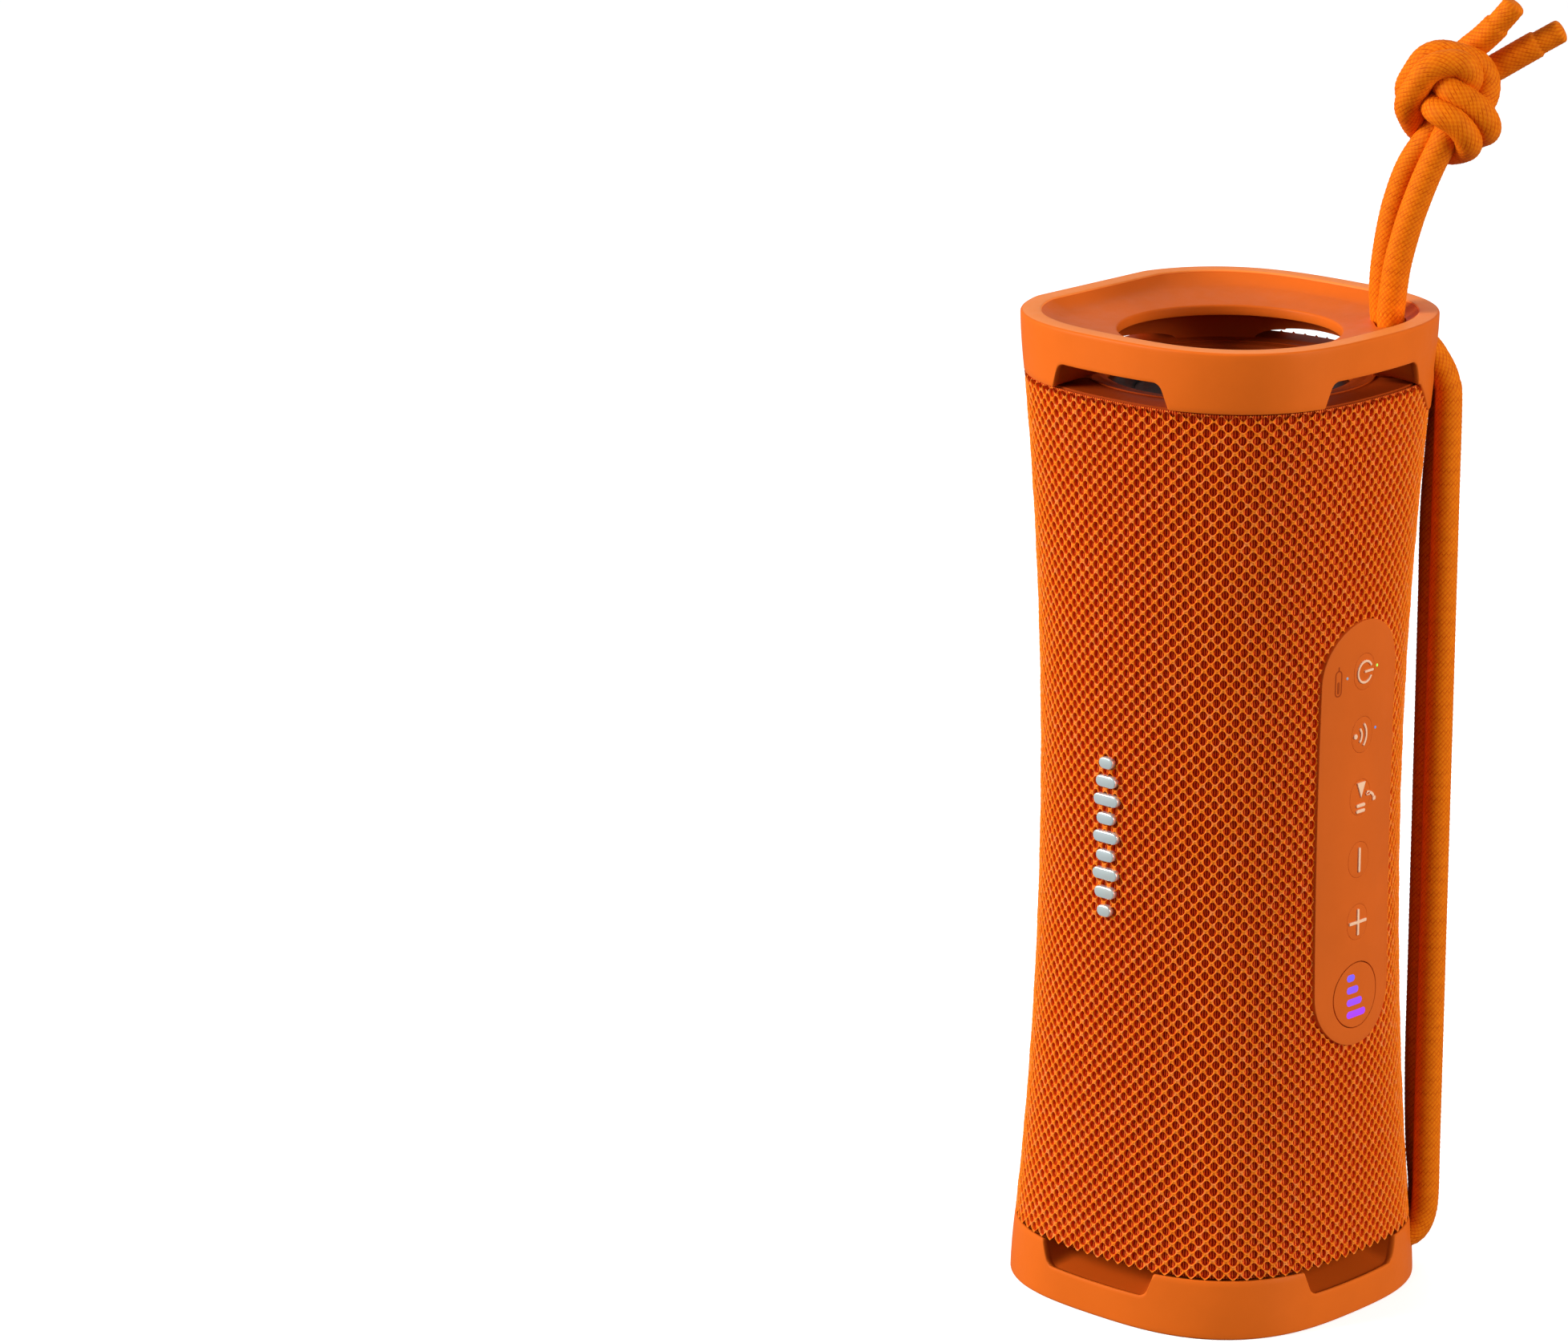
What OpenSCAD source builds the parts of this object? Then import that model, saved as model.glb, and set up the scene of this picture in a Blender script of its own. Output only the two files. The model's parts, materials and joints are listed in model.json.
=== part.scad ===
// Portable speaker that stands on one end or lies on its flat underside. A waisted cabinet sits in a
// knitted sleeve between two open end caps, each in front of a passive radiator. The front, with the
// badge, faces -Y, the control panel faces +X, the flat underside faces -X and the charging port
// faces +Y. A braided strap runs down the corner between +X and +Y. Origin: middle of the base.

/* [Body] */
// Height from end face to end face
body_h = 206; // [200:1:212]
// Half width of the sleeve where it meets the end caps
end_half = 38; // [37.5:0.1:38.2]
// Radius of the sleeve's rounded corners there, from the axis
end_corner = 41.4; // [41:0.1:41.6]
// Half width of the sleeve at the waist
waist_half = 35.9; // [35:0.1:37]
// Radius of the sleeve's rounded corners at the waist
waist_corner = 37.1; // [36.5:0.1:38]
// Distance from the axis to the sleeve's flat underside
under_flat = 36.6; // [36:0.1:37]
// Thickness of the knitted sleeve
sleeve_t = 1.2; // [0.8:0.1:1.6]
// Wall thickness of the cabinet shells
shell_t = 2.2; // [1.8:0.1:2.6]

/* [End caps] */
// Height of each end cap
cap_h = 12.5; // [12:0.1:13]
// Half width of an end cap
cap_half = 38.5; // [38.3:0.1:38.8]
// Radius of an end cap's rounded corners, from the axis
cap_corner = 42.3; // [42:0.1:42.6]
// Distance from the axis to an end cap's flat underside
cap_flat = 37; // [36.8:0.1:37.4]
// Width of the flat rim
rim_w = 4.3; // [3.5:0.1:5]
// Depth of the dish's steep edge
dish_edge = 1.9; // [1.5:0.1:2.4]
// Depth of the dish at its round opening
dish_depth = 4.1; // [3.6:0.1:4.6]
// Diameter of the round opening in front of a radiator
opening_d = 45.4; // [42:0.2:47]
// Thickness of the dish around the opening
dish_t = 2.2; // [1.8:0.1:2.4]
// Wall thickness of an end cap
cap_wall = 2.4; // [2:0.1:3]
// Width of a side slot at the sleeve
slot_wide = 30.4; // [28:0.2:32]
// Width of a side slot at its far edge
slot_narrow = 26.4; // [22:0.2:28]
// Height of a side slot
slot_h = 5.2; // [4.6:0.1:5.6]

/* [Controls] */
// Length of the control panel
panel_l = 89.6; // [86:0.2:92]
// Width of the control panel
panel_w = 23.6; // [22:0.2:25]
// How far the panel stands proud of the sleeve
panel_proud = 0.5; // [0.3:0.1:0.8]
// Height of the power key above the base
power_z = 137; // [134:0.2:138]
// Distance from one small key to the next
key_pitch = 13.2; // [12.5:0.1:13.4]
// Length of a small key
key_l = 7.6; // [7:0.1:8]
// Width of a small key
key_w = 6.4; // [6:0.1:6.6]
// Height of the bass boost key above the base
boost_z = 68.7; // [67:0.5:70]
// Diameter of the bass boost key
boost_d = 13.6; // [13:0.2:15.4]
// Gap around each key
key_gap = 0.3; // [0.2:0.05:0.4]

/* [Drivers] */
// Length of the oval woofer's frame
woofer_l = 84; // [80:1:86]
// Width of the oval woofer's frame
woofer_w = 44; // [42:0.5:44.5]
// Height of the woofer's centre above the base
woofer_z = 74; // [70:1:78]
// Height of the tweeter's centre above the base
tweeter_z = 148; // [142:1:154]
// Diameter of a passive radiator's plate
radiator_d = 38; // [34:1:42]
// Outside diameter of a passive radiator's surround
surround_d = 54; // [50:1:56]

/* [Strap] */
// Diameter of the braided cord
cord_d = 5.7; // [5.2:0.1:5.8]
// Distance from the corner's centre line to each strand
strand_gap = 3; // [2.95:0.05:3.1]
// Diameter of the anchor pin in the bottom cap
anchor_d = 4; // [3:0.5:4]

/* [Hidden] */
$fn = 48;
sides = 48;
mid_z = body_h / 2;
sleeve_low = cap_h + 0.2;
sleeve_high = body_h - sleeve_low;
waist_span = mid_z - cap_h;
skin_out = -sleeve_t - 0.2;
panel_back = -sleeve_t;
skin_in = skin_out - shell_t;
plate_t = 3.8;
gasket_t = 0.5;
plate_half = half_at(cap_h + plate_t + gasket_t);
plate_corner = corner_at(cap_h + plate_t + gasket_t);
shell_low = cap_h + plate_t + gasket_t;
shell_high = body_h - shell_low;
screw_d = 2;
screw_ring = 34.6;
radiator_face = cap_h + 1;
radiator_t = 2;
panel_z = mid_z;
panel_face = waist_half + panel_proud;
board_x = 27.6;
board_t = 1.2;
switch_top = 31;
hook_r = 35.7;
hook_s = 9.5;
board_post_z = [64, 144];
board_face = -24;
boss_x = -31.2;
boss_z = [shell_low + 24, mid_z, shell_high - 24];
strap_r = 44.4;
baffle_y = -24.5;
baffle_t = 2.4;
flange_t = 1.8;
port_z = 34;
port_y = 37.2;
port_w = 24;
port_h = 9.4;
orange = "#EE7424";
cord_orange = "#F08A14";
dark = "#26262A";
small_keys = [for (i = [0:4]) power_z - i * key_pitch];
// Lengths of the badge's bars, from the middle outwards
badge_bars = [6.4, 4.6, 6.4, 5.2, 3.6];
badge_pitch = 3.9;

// Route of one strand in the corner's plane, as [distance from the axis, height]
near_run = [[32.2, 205.5], [32.8, 203.2], [35.2, 201.2], [38.6, 199.4], [41, 197.4], [42.7, 194.4],
    [43.9, 191.2], [44.4, 187], [44.4, 165], [44.4, 145], [44.4, 125], [44.4, 105], [44.4, 85],
    [44.4, 65], [44.4, 45], [44.4, 28], [44.4, 17], [43.9, 12.6], [42.6, 9.6], [40.6, 8.2], [38, 8.4]];
far_run = [[31.4, 205.5], [32.2, 203.2], [35, 201.2], [38.6, 199.4], [41, 197.4], [42.7, 194.4],
    [43.9, 191.2], [44.2, 187], [42.9, 165], [42.9, 145], [42.9, 125], [42.9, 105], [42.9, 85],
    [42.9, 65], [42.9, 45], [43.4, 28], [44.3, 17], [43.9, 12.6], [42.6, 9.6], [40.6, 8.2], [38, 8.4]];
// Turn around the anchor pin, as [distance from the axis, offset along the corner's tangent]
pin_r = 33;
turn_r = anchor_d / 2 + cord_d / 2 + 0.1;
turn_z = 9.3;
// Routes of the free ends, as [distance from the axis, offset towards the front right, height]
near_free = [[32.2, 3, 205.6], [32.6, 3, 210], [33.4, 3, 216], [35.4, 3, 224], [38, 2.9, 232], [41, 2.6, 239]];
far_free = [[31.4, -3, 205.6], [31.2, -3, 210], [31.6, -3, 216], [32.8, -3, 224], [35, -2.9, 233],
    [38.4, -2.6, 241]];
near_end = [[48, 3, 256], [51, 3.4, 260.5], [55.4, 4, 266.6]];
far_end = [[50, -2, 254], [56, -3, 259], [64, -4.6, 262.6]];
knot_centre = [44.2, 0, 248];
knot_l = 22;
knot_d = 17.6;
knot_tilt = 25;

// ---- Shared shapes -------------------------------------------------------------------------

function half_at(z) = waist_half + (end_half - waist_half) * pow((z - mid_z) / waist_span, 2);
function corner_at(z) = waist_corner + (end_corner - waist_corner) * pow((z - mid_z) / waist_span, 2);
function section(half, corner, flat, grow) =
    [for (i = [0:sides - 1])
        let (a = 360 * i / sides, r = half + (corner - half) * pow(sin(2 * a), 2) + grow)
        [max(r * cos(a), -flat - grow), r * sin(a)]];
function ring(z, grow) =
    [for (p = section(half_at(z), corner_at(z), under_flat, grow)) [p[0], p[1], z]];
function diagonal(r, s, z) = [(r + s) / sqrt(2), (r - s) / sqrt(2), z];
function unit(v) = v / norm(v);
function tangent(p, i) = unit(p[min(i + 1, len(p) - 1)] - p[max(i - 1, 0)]);
function carried(p, i) =
    i == 0 ? unit(cross(tangent(p, 0), [0.3, 0.5, 0.1]))
    : let (t = tangent(p, i), n = carried(p, i - 1)) unit(n - (n * t) * t);

// Tube that follows the body's waisted outline, between two offsets from the sleeve's surface
module body_tube(low, high, steps, outer, inner) {
    levels = [for (i = [0:steps]) low + (high - low) * i / steps];
    inside = (steps + 1) * sides;
    points = concat([for (z = levels) each ring(z, outer)], [for (z = levels) each ring(z, inner)]);
    walls = [for (i = [0:steps - 1], j = [0:sides - 1])
        let (a = i * sides + j, b = i * sides + (j + 1) % sides)
        each [[a, a + sides, b + sides, b], [a + inside, b + inside, b + sides + inside, a + sides + inside]]];
    ends = [for (j = [0:sides - 1])
        let (k = (j + 1) % sides, top = steps * sides)
        each [[j, k, k + inside, j + inside], [top + j, top + j + inside, top + k + inside, top + k]]];
    polyhedron(points, concat(walls, ends), convexity = 8);
}

// Round cord swept along a list of points
module cord(p, d, n = 8) {
    points = [for (i = [0:len(p) - 1])
        let (t = tangent(p, i), u = carried(p, i), v = cross(t, u))
        for (k = [0:n - 1]) p[i] + d / 2 * (cos(360 * k / n) * u + sin(360 * k / n) * v)];
    walls = [for (i = [0:len(p) - 2], k = [0:n - 1])
        let (a = i * n + k, b = i * n + (k + 1) % n) [a, a + n, b + n, b]];
    last = (len(p) - 1) * n;
    ends = [[for (k = [0:n - 1]) k], [for (k = [0:n - 1]) last + n - 1 - k]];
    polyhedron(points, concat(walls, ends), convexity = 8);
}

// Flat shape with round ends, its long side along X
module stadium(l, w) {
    square([l - w, w], center = true);
    for (x = [-1, 1])
        translate([x * (l - w) / 2, 0]) circle(d = w);
}

// Prism along +X from x = 0, its long side along Z
module stadium_x(l, w, h) {
    rotate([0, 90, 0]) linear_extrude(h) stadium(l, w);
}

// Prism along +Y from y = 0, its long side along Z
module stadium_y(l, w, h) {
    rotate([-90, 0, 0]) linear_extrude(h) rotate(90) stadium(l, w);
}

module corner_screw_places() {
    for (a = [45:90:315])
        rotate(a) translate([screw_ring, 0, 0]) children();
}

module screw(d, l, head_d, head_h) {
    cylinder(d = d, h = l);
    translate([0, 0, l]) cylinder(d = head_d, h = head_h);
}

// ---- End caps ------------------------------------------------------------------------------

module slot_profile() {
    low = cap_h - slot_h;
    top = cap_h + 1;
    polygon([[-slot_narrow / 2, low], [slot_narrow / 2, low], [slot_wide / 2, top], [-slot_wide / 2, top]]);
}

module across_corner(r, z, tilt) {
    rotate([0, 0, 45]) translate([r, 0, z]) rotate([0, tilt, 0]) children();
}

// Two touching strands' outline, swept along +Z
module strand_passage(l, room) {
    linear_extrude(l) rotate(90) stadium(2 * strand_gap + cord_d + 2 * room, cord_d + 2 * room);
}

// An end cap with its end face at z = 0 and its open side up
module cap_body() {
    chamber = dish_depth + dish_t;
    difference() {
        linear_extrude(cap_h) polygon(section(cap_half, cap_corner, cap_flat, 0));
        translate([0, 0, chamber])
            linear_extrude(cap_h) polygon(section(cap_half, cap_corner, cap_flat, -cap_wall));
        translate([0, 0, -1])
            linear_extrude(1 + dish_edge) polygon(section(cap_half, cap_corner, cap_flat, -rim_w));
        hull() {
            translate([0, 0, dish_edge - 0.1])
                linear_extrude(0.1) polygon(section(cap_half, cap_corner, cap_flat, -rim_w - 0.4));
            translate([0, 0, dish_depth - 0.1]) cylinder(d = opening_d, h = 0.1);
        }
        translate([0, 0, -1]) cylinder(d = opening_d, h = cap_h);
        for (a = [0:90:270])
            rotate(a) translate([0, -cap_half + 8, 0]) rotate([90, 0, 0]) linear_extrude(12) slot_profile();
    }
    // Ribs either side of each slot
    for (a = [0:90:270], side = [-1, 1])
        rotate(a) translate([side * (slot_wide / 2 + 2.4) - 0.8, -cap_half + 2.6, chamber - 0.1])
            cube([1.6, 5, cap_h - chamber - 0.4]);
    // Hooks that snap into the end plate's pockets
    for (a = [45:90:315], side = [-1, 1])
        rotate(a) translate([hook_r, side * hook_s - 1.5, chamber - 0.1])
            cube([1.4, 3, cap_h - chamber + 1.3]);
}

module top_end_cap() {
    color(orange) {
        difference() {
            translate([0, 0, body_h]) mirror([0, 0, 1]) cap_body();
            across_corner(31.8, 196, 0) strand_passage(11, 0.35);
            across_corner(32.6, 203, 123) strand_passage(14, 0.35);
            across_corner(strap_r, 186, 0) strand_passage(11.5, 0.35);
        }
        difference() {
            intersection() {
                body_tube(sleeve_high - 7.2, body_h - cap_h + 0.1, 1, 0, skin_out + 0.2);
                corner_tongue(0);
            }
            across_corner(strap_r, 180, 0) strand_passage(16, 0.35);
        }
    }
}

// The tongue of the top cap that reaches down the strap's corner
module corner_tongue(grow) {
    rotate([0, 0, 45]) translate([30, 0, sleeve_high]) rotate([90, 0, 90])
        linear_extrude(20) polygon([[-15 - grow, 2], [15 + grow, 2], [9 + grow, -7 - grow],
            [-9 - grow, -7 - grow]]);
}

module bottom_end_cap() {
    color(orange) difference() {
        cap_body();
        across_corner(35.8, 8.3, 90) strand_passage(11, 0.35);
        across_corner(strap_r, 8.3, 0) strand_passage(11.5, 0.35);
        across_corner(pin_r, dish_depth + 0.8, 0) cylinder(d = anchor_d, h = 12);
    }
}

module anchor_pin() {
    color("silver") across_corner(pin_r, dish_depth + 0.8, 0)
        cylinder(d = anchor_d, h = cap_h - dish_depth - 0.8);
}

// ---- Sleeve and cabinet --------------------------------------------------------------------

module panel_cut(grow) {
    translate([25, 0, panel_z]) stadium_x(panel_l + 2 * grow, panel_w + 2 * grow, 20);
}

module port_cut(grow) {
    translate([0, 25, port_z]) rotate([-90, 0, 0])
        linear_extrude(20) stadium(port_w + 6.6 + 2 * grow, port_h + 5.6 + 2 * grow);
}

module grille_sleeve() {
    color(orange) difference() {
        body_tube(sleeve_low, sleeve_high, 8, 0, -sleeve_t);
        panel_cut(0.2);
        port_cut(0.2);
        corner_tongue(0.2);
    }
}

module shell_tube() {
    body_tube(shell_low, shell_high, 6, skin_out, skin_in);
}

module driver_window() {
    translate([-24.8, -60, woofer_z - woofer_l / 2 - 6.4])
        cube([49.6, 60 + baffle_y + baffle_t, tweeter_z - woofer_z + woofer_l / 2 + 24.8]);
}

module key_window() {
    translate([25, 0, panel_z]) stadium_x(panel_l - 5, 16.8, 20);
}

// Bosses of one shell half; side is -1 at the front and 1 at the rear
module shell_bosses(side) {
    for (z = boss_z)
        translate([boss_x, min(0, 9 * side), z]) rotate([-90, 0, 0]) cylinder(d = 5, h = 9);
    for (x = [-1, 1], z = [shell_low, shell_high - 9])
        translate([x * screw_ring / sqrt(2), side * screw_ring / sqrt(2), z]) cylinder(d = 6.4, h = 9);
    for (z = board_post_z)
        translate([-32, board_post_y(side), z]) rotate([0, 90, 0]) cylinder(d = 4, h = 6.4);
}

module shell_holes(side) {
    for (z = boss_z)
        translate([boss_x, -5, z]) rotate([-90, 0, 0]) cylinder(d = 1.8, h = 10);
    for (x = [-1, 1], z = [shell_low - 1, shell_high - 5.6])
        translate([x * screw_ring / sqrt(2), side * screw_ring / sqrt(2), z]) cylinder(d = screw_d, h = 6.6);
    for (z = board_post_z)
        translate([-30, board_post_y(side), z]) rotate([0, 90, 0]) cylinder(d = 1.6, h = 8);
}

function board_post_y(side) = 2 + side * 12;

module shell_half(side) {
    difference() {
        union() {
            difference() {
                shell_tube();
                translate([-60, side > 0 ? -60 : 0, 0]) cube([120, 60, body_h]);
            }
            shell_bosses(side);
        }
        shell_holes(side);
        key_window();
    }
}

module front_shell() {
    color(dark) difference() {
        shell_half(-1);
        driver_window();
    }
}

module rear_shell() {
    color(dark) difference() {
        shell_half(1);
        translate([0, 25, port_z]) rotate([-90, 0, 0]) linear_extrude(20) stadium(port_w + 5, port_h + 4);
    }
}

module shell_screws() {
    color("silver") for (z = boss_z)
        translate([boss_x, -4, z]) rotate([-90, 0, 0]) cylinder(d = 1.8, h = 8);
}

module board_screws() {
    color("silver") for (side = [-1, 1], z = board_post_z)
        translate([board_face - 5, board_post_y(side), z]) rotate([0, 90, 0]) screw(1.6, 5, 3, 0.9);
}

module driver_baffle() {
    half_w = 24.4;
    color(dark) difference() {
        translate([-half_w, baffle_y, woofer_z - woofer_l / 2 - 6])
            cube([2 * half_w, baffle_t, tweeter_z - woofer_z + woofer_l / 2 + 24]);
        translate([0, baffle_y - 1, woofer_z]) stadium_y(woofer_l - 6.4, woofer_w - 6.4, baffle_t + 2);
        translate([0, baffle_y - 1, tweeter_z]) rotate([-90, 0, 0]) cylinder(d = 20.4, h = baffle_t + 2);
        woofer_screw_places() cylinder(d = screw_d, h = 12, center = true);
        tweeter_screw_places() cylinder(d = screw_d, h = 12, center = true);
    }
}

module end_plate() {
    difference() {
        linear_extrude(plate_t) polygon(section(plate_half, plate_corner, under_flat, skin_out));
        translate([0, 0, -1]) cylinder(d = surround_d - 3, h = plate_t + 2);
        translate([0, 0, -1]) cylinder(d = surround_d + 0.1, h = 2.7);
        for (a = [45:90:315], side = [-1, 1])
            rotate(a) translate([hook_r - 0.2, side * hook_s - 1.7, -1]) cube([1.8, 3.4, 2.5]);
        corner_screw_places() translate([0, 0, -1]) cylinder(d = screw_d, h = plate_t + 2);
        corner_screw_places() translate([0, 0, -1]) cylinder(d = 4.4, h = 2.6);
    }
}

module bottom_end_plate() {
    color(orange) translate([0, 0, cap_h]) end_plate();
}

module top_end_plate() {
    color(orange) translate([0, 0, body_h - cap_h]) mirror([0, 0, 1]) end_plate();
}

module plate_gasket() {
    color("#3A3A3A") linear_extrude(gasket_t) difference() {
        polygon(section(plate_half, plate_corner, under_flat, skin_out - 0.1));
        polygon(section(plate_half, plate_corner, under_flat, skin_in + 0.1));
    }
}

module bottom_gasket() {
    translate([0, 0, cap_h + plate_t]) plate_gasket();
}

module top_gasket() {
    translate([0, 0, body_h - cap_h - plate_t - gasket_t]) plate_gasket();
}

module end_plate_screws() {
    color("silver") {
        translate([0, 0, cap_h + 1.6]) mirror([0, 0, 1]) plate_screw_set();
        translate([0, 0, body_h - cap_h - 1.6]) plate_screw_set();
    }
}

module plate_screw_set() {
    corner_screw_places() translate([0, 0, -7]) screw(screw_d, 7, 4.2, 1.4);
}

// ---- Passive radiators ---------------------------------------------------------------------

module radiator_plate() {
    color("#1A1A1C") cylinder(d = radiator_d, h = radiator_t);
}

module radiator_weight() {
    color("gray") cylinder(d = radiator_d - 10, h = 3);
}

module radiator_surround() {
    color("#202022") rotate_extrude()
        polygon([[radiator_d / 2, 0.4], [radiator_d / 2 + 2, -0.2], [surround_d / 2 - 2.5, -0.4],
            [surround_d / 2, 0], [surround_d / 2, 0.8], [surround_d / 2 - 2.5, 0.6],
            [radiator_d / 2 + 2, 0.8], [radiator_d / 2, 1.4]]);
}

module bottom_radiator_plate() {
    translate([0, 0, radiator_face]) radiator_plate();
}

module bottom_radiator_weight() {
    translate([0, 0, radiator_face + radiator_t]) radiator_weight();
}

module bottom_radiator_surround() {
    translate([0, 0, radiator_face - 0.1]) radiator_surround();
}

module top_radiator_plate() {
    translate([0, 0, body_h - radiator_face - radiator_t]) radiator_plate();
}

module top_radiator_weight() {
    translate([0, 0, body_h - radiator_face - radiator_t - 3]) radiator_weight();
}

module top_radiator_surround() {
    translate([0, 0, body_h - radiator_face + 0.1]) mirror([0, 0, 1]) radiator_surround();
}

// ---- Woofer and tweeter --------------------------------------------------------------------

module woofer_screw_places() {
    for (x = [-1, 1], z = [-1, 1])
        translate([x * 17.6, baffle_y, woofer_z + z * 34.6]) rotate([-90, 0, 0]) children();
}

module tweeter_screw_places() {
    for (x = [-1, 1])
        translate([x * 12.4, baffle_y, tweeter_z]) rotate([-90, 0, 0]) children();
}

module woofer_frame() {
    color("#303034") {
        difference() {
            translate([0, baffle_y - flange_t, woofer_z]) stadium_y(woofer_l, woofer_w, flange_t);
            translate([0, baffle_y - 3, woofer_z]) stadium_y(woofer_l - 8, woofer_w - 8, 6);
            woofer_screw_places() cylinder(d = screw_d, h = 12, center = true);
        }
        difference() {
            hull() {
                translate([0, baffle_y, woofer_z]) stadium_y(woofer_l - 6.8, woofer_w - 6.8, 0.1);
                translate([0, -11, woofer_z]) rotate([-90, 0, 0]) cylinder(d = 34, h = 0.1, $fn = 32);
            }
            hull() {
                translate([0, baffle_y - 0.1, woofer_z]) stadium_y(woofer_l - 9, woofer_w - 9, 0.1);
                translate([0, -12.4, woofer_z]) rotate([-90, 0, 0]) cylinder(d = 31, h = 0.1, $fn = 32);
            }
            translate([0, -14, woofer_z]) rotate([-90, 0, 0]) cylinder(d = 19, h = 10);
        }
    }
}

module woofer_surround() {
    color("#1C1C1E") difference() {
        translate([0, baffle_y - 0.9, woofer_z]) stadium_y(woofer_l - 8, woofer_w - 8, 0.8);
        translate([0, baffle_y - 3, woofer_z]) stadium_y(woofer_l - 21.2, woofer_w - 21.2, 6);
    }
}

module cone_form(shift) {
    hull() {
        translate([0, baffle_y + shift, woofer_z]) stadium_y(woofer_l - 22, woofer_w - 22, 0.1);
        translate([0, -16.4 + shift, woofer_z]) rotate([-90, 0, 0]) cylinder(d = 16, h = 0.1, $fn = 32);
    }
}

module woofer_cone() {
    color("#101012") {
        difference() {
            cone_form(0.7);
            cone_form(-0.1);
        }
        translate([0, -16.4, woofer_z]) rotate([-90, 0, 0]) cylinder(d = 16, h = 0.6);
    }
}

module voice_coil() {
    color("#B87333") translate([0, -15.5, woofer_z]) rotate([-90, 0, 0]) difference() {
        cylinder(d = 16, h = 10);
        translate([0, 0, -1]) cylinder(d = 14.8, h = 12);
    }
}

module woofer_spider() {
    color("#C8A05A") translate([0, -13.2, woofer_z]) rotate([-90, 0, 0]) difference() {
        cylinder(d = 30.8, h = 0.5);
        translate([0, 0, -1]) cylinder(d = 16.8, h = 3);
    }
}

module woofer_magnet() {
    color("#4A4A4E") translate([0, -10.8, woofer_z]) rotate([-90, 0, 0]) {
        difference() {
            cylinder(d = 33, h = 11);
            translate([0, 0, -1]) cylinder(d = 17.2, h = 9.6);
        }
        cylinder(d = 13.8, h = 9);
    }
}

module tweeter_housing() {
    color(dark) translate([0, baffle_y, tweeter_z]) rotate([-90, 0, 0]) difference() {
        union() {
            translate([0, 0, -flange_t]) cylinder(d = 30, h = flange_t);
            cylinder(d = 20, h = 7);
        }
        translate([0, 0, -3]) cylinder(d = 17, h = 8.6);
        for (x = [-1, 1])
            translate([x * 12.4, 0, -3]) cylinder(d = screw_d, h = 6);
    }
}

module tweeter_dome() {
    color("silver") translate([0, baffle_y - 1.4, tweeter_z]) rotate([90, 0, 0]) difference() {
        cylinder(d = 16, h = 1.2);
        translate([0, 0, -1]) cylinder(d = 14, h = 1.6);
    }
}

module tweeter_magnet() {
    color("#4A4A4E") translate([0, baffle_y + 7, tweeter_z]) rotate([-90, 0, 0]) cylinder(d = 18, h = 5);
}

module woofer_screws() {
    color("silver") woofer_screw_places() translate([0, 0, 4]) mirror([0, 0, 1]) screw(screw_d, 5.8, 3.8, 1);
}

module tweeter_screws() {
    color("silver") tweeter_screw_places() translate([0, 0, 4]) mirror([0, 0, 1]) screw(screw_d, 5.8, 3.4, 0.8);
}

// ---- Controls ------------------------------------------------------------------------------

module post_places() {
    for (i = [0, 3], y = [-5.6, 5.6])
        translate([0, y, power_z - key_pitch * (i + 0.5)]) rotate([0, 90, 0]) children();
}

module control_panel() {
    color("#DC6A28") {
        difference() {
            intersection() {
                body_tube(panel_z - panel_l / 2 - 1, panel_z + panel_l / 2 + 1, 6, panel_proud, panel_back);
                panel_cut(0);
            }
            for (z = small_keys)
                translate([25, 0, z]) key_prism(key_l + 2 * key_gap, key_w + 2 * key_gap);
            translate([25, 0, boost_z]) key_prism(boost_d + 2 * key_gap, boost_d + 2 * key_gap);
            for (p = lens_places)
                translate([30, p[0], p[1]]) rotate([0, 90, 0]) cylinder(d = 0.9, h = 20, $fn = 16);
        }
        difference() {
            post_places() translate([0, 0, board_x + board_t]) cylinder(d = 3, h = 6.4);
            post_places() translate([0, 0, board_x]) cylinder(d = 1.4, h = 5);
        }
    }
}

lens_places = [[4.5, power_z + 0.4], [-5.2, power_z + 0.4], [4.5, power_z - key_pitch + 0.4]];

module indicator_lenses() {
    color("#9BE36A") for (p = lens_places)
        translate([panel_back + half_at(p[1]) - 0.6, p[0], p[1]]) rotate([0, 90, 0])
            cylinder(d = 0.9, h = 1.9, $fn = 16);
}

// A key: its top follows the panel, and a stem ends just above its switch
module key(z, l, w) {
    intersection() {
        body_tube(z - l / 2 - 1, z + l / 2 + 1, 2, panel_proud, panel_back);
        translate([25, 0, z]) key_prism(l, w);
    }
    translate([switch_top + 0.9, 0, z]) rotate([0, 90, 0]) cylinder(d = 4, h = 3.2);
}

module key_prism(l, w) {
    if (l > w) stadium_x(l, w, 20);
    else rotate([0, 90, 0]) cylinder(d = w, h = 20);
}

module bar(z, y, l, w, turn = 0) {
    translate([key_top(z), y, z]) rotate([turn, 0, 0]) translate([0, -l / 2, -w / 2]) cube([0.6, l, w]);
}

function key_top(z) = half_at(z) + panel_proud - 0.3;

module power_key() {
    z = small_keys[0];
    color(orange) {
        key(z, key_l, key_w);
        translate([key_top(z), 0, z]) rotate([0, 90, 0]) difference() {
            cylinder(d = 5.4, h = 0.6);
            translate([0, 0, -1]) cylinder(d = 4.2, h = 3);
        }
        bar(z, 1.8, 2.4, 0.7);
    }
}

module pairing_key() {
    z = small_keys[1];
    color(orange) {
        key(z, key_l, key_w);
        translate([key_top(z), -2, z]) rotate([0, 90, 0]) cylinder(d = 1.4, h = 0.6);
        for (d = [5, 8])
            translate([key_top(z), -2, z]) rotate([0, 90, 0]) intersection() {
                difference() {
                    cylinder(d = d, h = 0.6);
                    translate([0, 0, -1]) cylinder(d = d - 1.2, h = 3);
                }
                translate([0, 0, -1]) linear_extrude(3) polygon([[0, 0], [6, 6], [-6, 6]]);
            }
    }
}

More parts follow.
